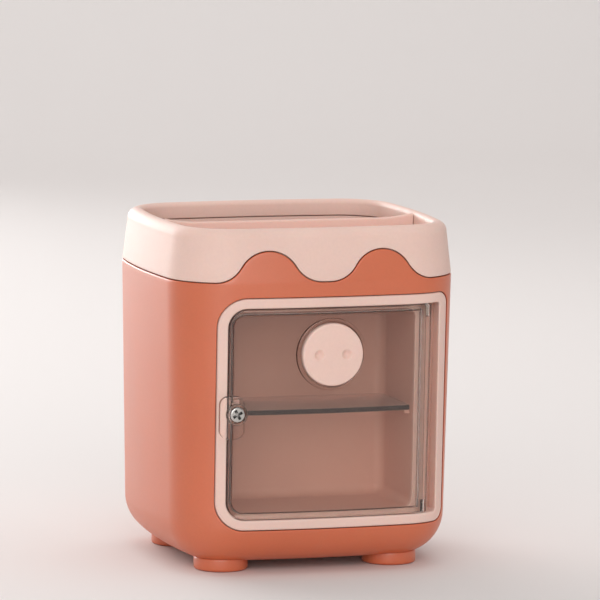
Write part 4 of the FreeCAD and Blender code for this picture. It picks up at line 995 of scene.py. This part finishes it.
def cross(x, y):
    """Cross recess with steep sides, turned a little."""

    def arm(u, v):
        """One bar of the cross."""
        ends = np.clip((CROSS_REACH - np.abs(u)) / CROSS_EDGE / 2, 0, 1)
        return ends * np.clip((CROSS_HALF_WIDTH - np.abs(v)) / CROSS_EDGE, 0, 1)

    u = x * math.cos(CROSS_TURN) + y * math.sin(CROSS_TURN)
    v = y * math.cos(CROSS_TURN) - x * math.sin(CROSS_TURN)
    return CROSS_DEPTH * np.maximum(arm(u, v), arm(v, u))


def snout_button():
    """Round cream button with a soft edge, two dimples and a peg, lifted a hair off its seat."""
    bevel = 0.25
    low_profile = [(BUTTON_RADIUS, bevel + PLAY), (BUTTON_RADIUS - bevel, BUTTON_LIFT)]
    low_profile += [(PEG_RADIUS, BUTTON_LIFT), (PEG_RADIUS, -PEG_LENGTH), (0, -PEG_LENGTH)]
    place = np.array([BUTTON_ACROSS, BUTTON_SEAT, BUTTON_PLACE])
    size = (BUTTON_RADIUS, BUTTON_SOFT, BUTTON_HEIGHT)
    grid = polar_face(*size, dimple, low_profile, place, -BACKWARD, 90, 220)
    return tube("snout_button_looks", grid, sharp=40)


def latch_screw():
    """Bright pan head screw with a cross recess."""
    bevel = 0.3
    low_profile = [(HEAD_RADIUS, 0.0), (SCREW_RADIUS, 0.0), (SCREW_RADIUS, bevel - SCREW_LENGTH)]
    low_profile += [(SCREW_RADIUS - bevel, -SCREW_LENGTH), (0, -SCREW_LENGTH)]
    place = LATCH_PLACE + BACKWARD * HEAD_SINK
    grid = polar_face(HEAD_RADIUS, HEAD_SOFT, HEAD_HEIGHT, cross, low_profile, place, -BACKWARD, 90, 240)
    return tube("latch_screw_looks", grid, sharp=40)


def assembly_screws():
    """Six screws from below with cross recesses, in one piece."""
    radius, soft, head, length, point = 2.9, 0.8, 2.0, 12.0, 0.3
    low_profile = [(radius, -head), (SCREW_RADIUS, -head), (SCREW_RADIUS, point - length), (0, -length)]
    cabinet, insert = post_places()
    patches = []
    for place in cabinet + insert:
        base = place + UP * (RECESS_TOP - head)
        patches.append((polar_face(radius, soft, 0.0, cross, low_profile, base, -UP, 40, 120), False, True))
    return make_piece("assembly_screws_looks", patches, 40)


def small_parts():
    """Hinge pins and latch magnet."""
    pin = rounded(PIN_RADIUS, -PIN_REACH, PIN_LENGTH - PIN_REACH, PIN_SOFT)
    low_pin = lathe("hinge_pin_lower_looks", pin, HINGE_POINT, HINGE_AXIS, 48)
    high_pin = lathe("hinge_pin_upper_looks", pin, BARREL_TOP, -HINGE_AXIS, 48)
    magnet = rounded(MAGNET_RADIUS, 0.0, MAGNET_WALL, EDGE)
    return low_pin, high_pin, lathe("latch_magnet_looks", magnet, MAGNET_PLACE, BACKWARD, 96)


def shelf():
    """Smoked plate with a bowed front edge, a notch beside the magnet holder and soft edges."""
    soft = 0.3
    left, right, rear = CABINET_LEFT + SHELF_GAP, CABINET_RIGHT - SHELF_GAP, CABINET_BACK - SHELF_GAP
    notch = CABINET_LEFT + SHELF_NOTCH
    front = face_point(np.linspace(notch, right, 90), SHELF_LOW + SHELF_WALL / 2, SHELF_SETBACK)[:, :2]
    bend = SHELF_CORNER * quarter(9)
    right_corner = np.array([right, rear]) - bend
    left_corner = np.array([left, rear]) + bend[:, ::-1] * [1, -1]
    loop = np.concatenate([front, right_corner, left_corner, [[left, HOLDER_BACK], [notch, HOLDER_BACK]]])
    tangent = np.roll(loop, -1, axis=0) - np.roll(loop, 1, axis=0)
    tangent /= np.linalg.norm(tangent, axis=1, keepdims=True)
    normal = np.stack([tangent[:, 1], -tangent[:, 0]], axis=-1)
    edge = [(rise, draw) for draw, rise in soft * quarter(5)]
    edge += [(draw, SHELF_WALL - rise) for draw, rise in edge[::-1]]
    loops = []
    for draw, rise in edge:
        x, y = (loop - normal * draw).T
        loops.append(np.stack(np.broadcast_arrays(x, y, SHELF_LOW + rise), axis=-1))
    middle = np.array([0.0, -25.0, SHELF_LOW])
    return tube("shelf_looks", loops, middle, middle + UP * SHELF_WALL, 40)


# Materials


def linear(red, green, blue):
    """Linear colour from eight-bit screen values."""
    share = np.array([red, green, blue]) / 255
    value = np.where(share <= 0.04045, share / 12.92, ((share + 0.055) / 1.055) ** 2.4)
    return (*map(float, value), 1.0)


def feed(tree, node, **inputs):
    """Named inputs of a node, joined to outputs or set to values."""
    for name, value in inputs.items():
        set_input(tree, node.inputs[name.replace("_", " ")], value)
    return node


def set_input(tree, socket, value):
    """One input, joined to an output or set to a value."""
    if isinstance(value, bpy.types.NodeSocket):
        tree.links.new(value, socket)
    else:
        socket.default_value = value


def add_node(tree, kind, **inputs):
    """New node with its named inputs joined or set."""
    return feed(tree, tree.nodes.new(kind), **inputs)


def reckon(tree, operation, *values, kind="ShaderNodeMath"):
    """Output of one sum on outputs and values."""
    node = tree.nodes.new(kind)
    node.operation = operation
    for number, value in enumerate(values):
        set_input(tree, node.inputs[number], value)
    return node.outputs[0]


def ranged(tree, value, low, high, first=0.0, last=1.0):
    """Output that carries a value from one range to another and holds it at the ends."""
    node = add_node(tree, "ShaderNodeMapRange", Value=value, From_Min=low, From_Max=high)
    return feed(tree, node, To_Min=first, To_Max=last).outputs["Result"]


def noise(tree, scale, detail, rough):
    """Output of a noise in the piece's own coordinates."""
    place = tree.nodes.new("ShaderNodeTexCoord").outputs["Object"]
    node = add_node(tree, "ShaderNodeTexNoise", Vector=place, Scale=scale, Detail=detail, Roughness=rough)
    return node.outputs["Fac"]


def openness(tree, distance, samples, own, low, high):
    """Output from 0 in hollows, the piece's own ones or all, to 1 in the open."""
    node = add_node(tree, "ShaderNodeAmbientOcclusion", Distance=distance)
    node.samples = samples
    node.only_local = own
    return ranged(tree, node.outputs["AO"], low, high)


def facing(tree):
    """Parts of the surface's direction in the piece's own coordinates."""
    normal = tree.nodes.new("ShaderNodeTexCoord").outputs["Normal"]
    return add_node(tree, "ShaderNodeSeparateXYZ", Vector=normal).outputs


def new_material(name):
    """Material, its node tree and its main shader."""
    material = bpy.data.materials.new(name)
    material.use_nodes = True
    return material, material.node_tree, material.node_tree.nodes["Principled BSDF"]


def moulded_group(name, own_hollows):
    """Shared look of moulded plastic.

    Colour is the tint, changed by 3.5 % in slow clouds and 1.5 % in fine specks, with painted shade, darker and
    warmer, in hollows, and with own_hollows off also in the gaps between pieces. Roughness is the gloss,
    wandering with the clouds. Normal is a fine grain.
    """
    group = bpy.data.node_groups.new(name, "ShaderNodeTree")
    sockets = [("Tint", "INPUT", "Color"), ("Gloss", "INPUT", "Float"), ("Wander", "INPUT", "Float")]
    sockets += [("Grain", "INPUT", "Float"), ("Color", "OUTPUT", "Color"), ("Roughness", "OUTPUT", "Float")]
    for socket, way, kind in sockets + [("Normal", "OUTPUT", "Vector")]:
        group.interface.new_socket(socket, in_out=way, socket_type="NodeSocket" + kind)
    inlet = group.nodes.new("NodeGroupInput").outputs
    slow, fine = noise(group, 22.0, 3.0, 0.5), noise(group, 900.0, 2.0, 0.6)
    clouds, specks = ranged(group, slow, 0.3, 0.7, 0.965, 1.035), ranged(group, fine, 0.3, 0.7, 0.985, 1.015)
    change = reckon(group, "MULTIPLY", clouds, specks)
    tinted = reckon(group, "MULTIPLY", inlet["Tint"], change, kind="ShaderNodeVectorMath")
    # painted shade: the colour turns darker and warmer where ambient occlusion finds a hollow or gap
    deep = reckon(group, "MULTIPLY", tinted, (0.62, 0.34, 0.22), kind="ShaderNodeVectorMath")
    colour = mixed(group, openness(group, 0.9 * MM, 6, own_hollows, 0.15, 0.6), deep, tinted)
    shift = reckon(group, "SUBTRACT", slow, 0.5)
    rough = reckon(group, "MULTIPLY_ADD", shift, inlet["Wander"], inlet["Gloss"])
    grain = noise(group, 2600.0, 3.0, 0.65)
    bump = add_node(group, "ShaderNodeBump", Strength=inlet["Grain"], Distance=0.06 * MM, Height=grain)
    outlet = group.nodes.new("NodeGroupOutput")
    feed(group, outlet, Color=colour, Roughness=rough, Normal=bump.outputs["Normal"])
    return group


def plastic(name, colour, gloss, grain, group, **sockets):
    """Material of moulded plastic: the shared group feeds colour, roughness and normal."""
    material, tree, shader = new_material(name)
    look = tree.nodes.new("ShaderNodeGroup")
    look.node_tree = group
    out = feed(tree, look, Tint=colour, Gloss=gloss, Wander=0.1, Grain=grain).outputs
    feed(tree, shader, Base_Color=out["Color"], Roughness=out["Roughness"], Normal=out["Normal"], **sockets)
    return material


def mixed(tree, mask, first, second):
    """Colour output between two colours or colour outputs by a mask."""
    mix = tree.nodes.new("ShaderNodeMix")
    mix.data_type = "RGBA"
    for number, value in ((0, mask), (6, first), (7, second)):
        set_input(tree, mix.inputs[number], value)
    return mix.outputs[2]


def make_clear(tree, shader, colour, shade, clearness=1.0):
    """Clear plastic that lets most light through to what is behind it.

    Alpha is 1 where it is looked at. For light on its way to what it covers, alpha is the shade, which is
    what it holds back.
    """
    ray = tree.nodes.new("ShaderNodeLightPath").outputs["Is Shadow Ray"]
    alpha = reckon(tree, "ADD", reckon(tree, "SUBTRACT", 1.0, ray), reckon(tree, "MULTIPLY", ray, shade))
    smear = ranged(tree, noise(tree, 60.0, 4.0, 0.6), 0.35, 0.75, 0.0, 0.03)
    feed(tree, shader, Base_Color=colour, Roughness=smear, Alpha=alpha)
    feed(tree, shader, Transmission_Weight=clearness, IOR=1.49)


def door_plastic():
    """Clear plastic of the door: faintly warm, clearer at the tab, and painted dark along edges that face
    sideways.

    The dark edges are painted shade, standing in for the dark seen through clear edges and in the gap at the
    hinge. At the hinge barrel only what faces away from the door's middle is painted dark.
    """
    warm, bare, deep = linear(238, 228, 222), linear(252, 249, 247), linear(112, 86, 76)
    material, tree, shader = new_material("clear_plastic")
    place = tree.nodes.new("ShaderNodeTexCoord").outputs["Object"]
    across = add_node(tree, "ShaderNodeSeparateXYZ", Vector=place).outputs["X"]
    turned = facing(tree)
    tab_edge = (BEZEL_LEFT + STRIPE_LEFT) * MM
    barrel_edge = (HINGE_POINT[0] - 1.5 * BARREL_RADIUS) * MM
    panel = ranged(tree, across, tab_edge, tab_edge + MM)
    barrel = ranged(tree, across, barrel_edge, barrel_edge + 0.2 * MM)
    flat = ranged(tree, reckon(tree, "ABSOLUTE", turned["Y"]), 0.2, 0.6)
    inward = ranged(tree, turned["X"], 0.25, 0.6, 1.0, 0.0)
    # painted shade: sideways-facing edges and the outer side of the hinge barrel are painted dark; the warm
    # tint is partly the door's own and partly painted shade for the cabinet behind it, and is left out at the
    # tab
    colour = mixed(tree, mixed(tree, barrel, flat, inward), deep, mixed(tree, panel, bare, warm))
    make_clear(tree, shader, colour, ranged(tree, panel, 0.0, 1.0, 0.06, 0.28))
    return material


def shelf_plastic():
    """Smoked plastic of the shelf with painted light and shade: pale on its faces, painted dark where one looks
    into its front edge.
    """
    material, tree, shader = new_material("smoked_plastic")
    # painted light and shade: the faces get a pale colour and the front edge a dark one, chosen by the way they
    # face
    edge = ranged(tree, facing(tree)["Y"], -0.9, -0.6, 1.0, 0.0)
    make_clear(tree, shader, mixed(tree, edge, linear(240, 224, 217), linear(74, 62, 60)), 0.1, 0.72)
    return material


def bright_metal(name, colour, gloss):
    """Plated steel with fine turning marks in its roughness, and painted shade in its recesses."""
    material, tree, shader = new_material(name)
    # painted shade: the colour falls to a dark steel where ambient occlusion finds a recess
    dark = tuple(0.12 * share for share in colour[:3]) + (1.0,)
    tint = mixed(tree, openness(tree, 1.2 * MM, 8, True, 0.5, 0.92), dark, colour)
    marks = noise(tree, 1400.0, 4.0, 0.7)
    rough = ranged(tree, marks, 0.3, 0.7, gloss - 0.06, gloss + 0.1)
    bump = add_node(tree, "ShaderNodeBump", Strength=0.15, Distance=0.03 * MM, Height=marks)
    feed(tree, shader, Base_Color=tint, Metallic=1.0, Roughness=rough, Normal=bump.outputs["Normal"])
    return material


# Stage: floor, backdrop, light and camera


def build_stage():
    """Pale floor that turns up into a plain backdrop."""
    across = np.linspace(-4.0, 4.0, 9)
    turn = np.linspace(0, math.pi / 2, 24)
    along = np.concatenate([[-4.0, 1.0], 1.4 + 0.6 * np.sin(turn), [2.0]])
    rise = np.concatenate([[0.0, 0.0], 0.6 * (1 - np.cos(turn)), [5.0]])
    grid = np.stack(np.broadcast_arrays(across, along[:, None], rise[:, None]), axis=-1)
    mesh = bpy.data.meshes.new("stage_floor")
    mesh.from_pydata(grid.reshape(-1, 3), [], quads(len(along), len(across), False, False))
    mesh.polygons.foreach_set("use_smooth", np.ones(len(mesh.polygons), bool))
    floor = add_object("stage_floor", mesh)
    material, tree, shader = new_material("stage_floor")
    feed(tree, shader, Base_Color=linear(232, 228, 226), Roughness=0.8)
    mesh.materials.append(material)


def area_light(name, place, target, width, height, power):
    """Rectangular light that faces a target."""
    data = bpy.data.lights.new(name, "AREA")
    data.shape = "RECTANGLE"
    data.size, data.size_y = width, height
    data.energy = power
    light = add_object(name, data)
    light.location = place
    light.rotation_mode = "QUATERNION"
    light.visible_camera = False
    light.rotation_quaternion = (Vector(target) - Vector(place)).to_track_quat("-Z", "Y")
    return light


def build_lights():
    """Narrow window behind the left side with a sheen of its own, soft light from the left front and above.

    The sheen only shows in reflections. The backdrop has its own light, and the room is pale.
    """
    centre = (0.0, 0.0, 0.08)
    window = area_light("window_light", (-0.45, 1.2, 0.42), (0.0, 0.0, 0.06), 1.2, 0.8, 2.5)
    window.data.spread = math.radians(75)
    sheen = area_light("sheen_light", (-0.5, 1.2, 0.27), (0.0, 0.0, 0.06), 1.2, 0.5, 5.4)
    sheen.visible_diffuse = False
    area_light("front_light", (-0.6, -1.8, 0.75), centre, 1.6, 1.2, 16.0)
    area_light("top_light", (0.1, 0.0, 1.5), centre, 1.2, 1.0, 3.0)
    area_light("backdrop_light", (0.1, 0.8, 1.5), (0.2, 1.9, 0.35), 2.4, 0.5, 9.0)
    world = bpy.data.worlds.new("pale_room")
    world.use_nodes = True
    world.node_tree.nodes["Background"].inputs["Color"].default_value = linear(240, 236, 235)
    world.node_tree.nodes["Background"].inputs["Strength"].default_value = 0.6
    bpy.context.scene.world = world
    bpy.context.scene.view_settings.view_transform = "Standard"


AZIMUTH = math.radians(-17.377)
ELEVATION = math.radians(7.312)
ROLL = math.radians(0.657)
DISTANCE = 2.2927
FOCAL_SHARE = 5750.7 / 600
AIM = (5.982, 101.84)


def build_camera():
    """Camera at the photograph's viewing angle."""
    data = bpy.data.cameras.new("camera")
    data.sensor_width = 36.0
    data.lens = 36.0 * FOCAL_SHARE
    data.clip_start, data.clip_end = 0.1, 20.0
    camera = add_object("camera", data)
    back = Vector((
        math.sin(AZIMUTH) * math.cos(ELEVATION),
        -math.cos(AZIMUTH) * math.cos(ELEVATION),
        math.sin(ELEVATION),
    ))
    right = Vector((math.cos(AZIMUTH), math.sin(AZIMUTH), 0.0))
    up = back.cross(right)
    right_turned = right * math.cos(ROLL) + up * math.sin(ROLL)
    up_turned = back.cross(right_turned)
    target = (right * AIM[0] + Vector((0, 0, AIM[1])) + Vector(SHIFT)) * MM
    matrix = Matrix((right_turned, up_turned, back)).transposed().to_4x4()
    matrix.translation = target + back * DISTANCE
    camera.matrix_world = matrix
    bpy.context.scene.camera = camera


def build_object():
    """Every piece with its material, its body and the node that it stands for."""
    group = moulded_group("moulded_plastic", True)
    # painted shade: this copy of the look also darkens the gaps between pieces, not only each piece's own
    # hollows
    gap_shade_group = moulded_group("moulded_plastic_gap_shade", False)
    glow = {"Subsurface_Weight": 0.2, "Subsurface_Radius": (1.0, 0.4, 0.25), "Subsurface_Scale": 3 * MM}
    red_glow = glow | {"Subsurface_Weight": 0.25, "Subsurface_Radius": (1.0, 0.25, 0.1)}
    glow["Specular_IOR_Level"], red_glow["Specular_IOR_Level"] = 0.2, 1.0
    red, pale = linear(208, 105, 64), linear(234, 202, 190)
    terracotta = plastic("terracotta_plastic", red, 0.36, 0.12, gap_shade_group, **red_glow)
    cream = plastic("cream_plastic", pale, 0.45, 0.10, group, **glow)
    cream_gap_shade = plastic("cream_plastic_gap_shade", pale, 0.45, 0.10, gap_shade_group, **glow)
    # painted shade: the cabinet's inside is the same cream, painted darker and warmer to stand for the shade
    # inside the box
    cream_shaded_inside = plastic("cream_plastic_shaded_inside", linear(222, 178, 161), 0.38, 0.08, group)
    door_clear = door_plastic()
    smoked = shelf_plastic()
    steel = bright_metal("bright_steel", linear(206, 204, 200), 0.24)
    nickel = bright_metal("nickel_plate", linear(200, 196, 188), 0.2)
    low_pin, high_pin, magnet = small_parts()
    table = [
        (body_shell(), "body_shell", "organizer", "terracotta_plastic", terracotta),
        (top_collar(), "top_collar", "organizer", "cream_plastic", cream_gap_shade),
        (pen_insert(), "pen_insert", "organizer", "cream_plastic", cream_gap_shade),
        (bezel_frame(), "bezel_frame", "organizer", "cream_plastic", cream),
        (cabinet_box(), "cabinet_box", "organizer", "cream_plastic", cream_shaded_inside),
        (shelf(), "shelf", "organizer", "smoked_plastic", smoked),
        (low_pin, "hinge_pin_lower", "organizer", "bright_steel", steel),
        (high_pin, "hinge_pin_upper", "organizer", "bright_steel", steel),
        (magnet, "latch_magnet", "organizer", "nickel_plate", nickel),
        (assembly_screws(), "assembly_screws", "organizer", "bright_steel", steel),
        (door_panel(), "door_panel", "door", "clear_plastic", door_clear),
        (snout_button(), "snout_button", "door", "cream_plastic", cream),
        (latch_screw(), "latch_screw", "door", "bright_steel", steel),
    ]
    for piece, node, body, slot, material in table:
        piece.data.materials.clear()
        piece.data.materials.append(material)
        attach(piece, body)
        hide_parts(node)


build_camera()
build_stage()
build_lights()
build_object()
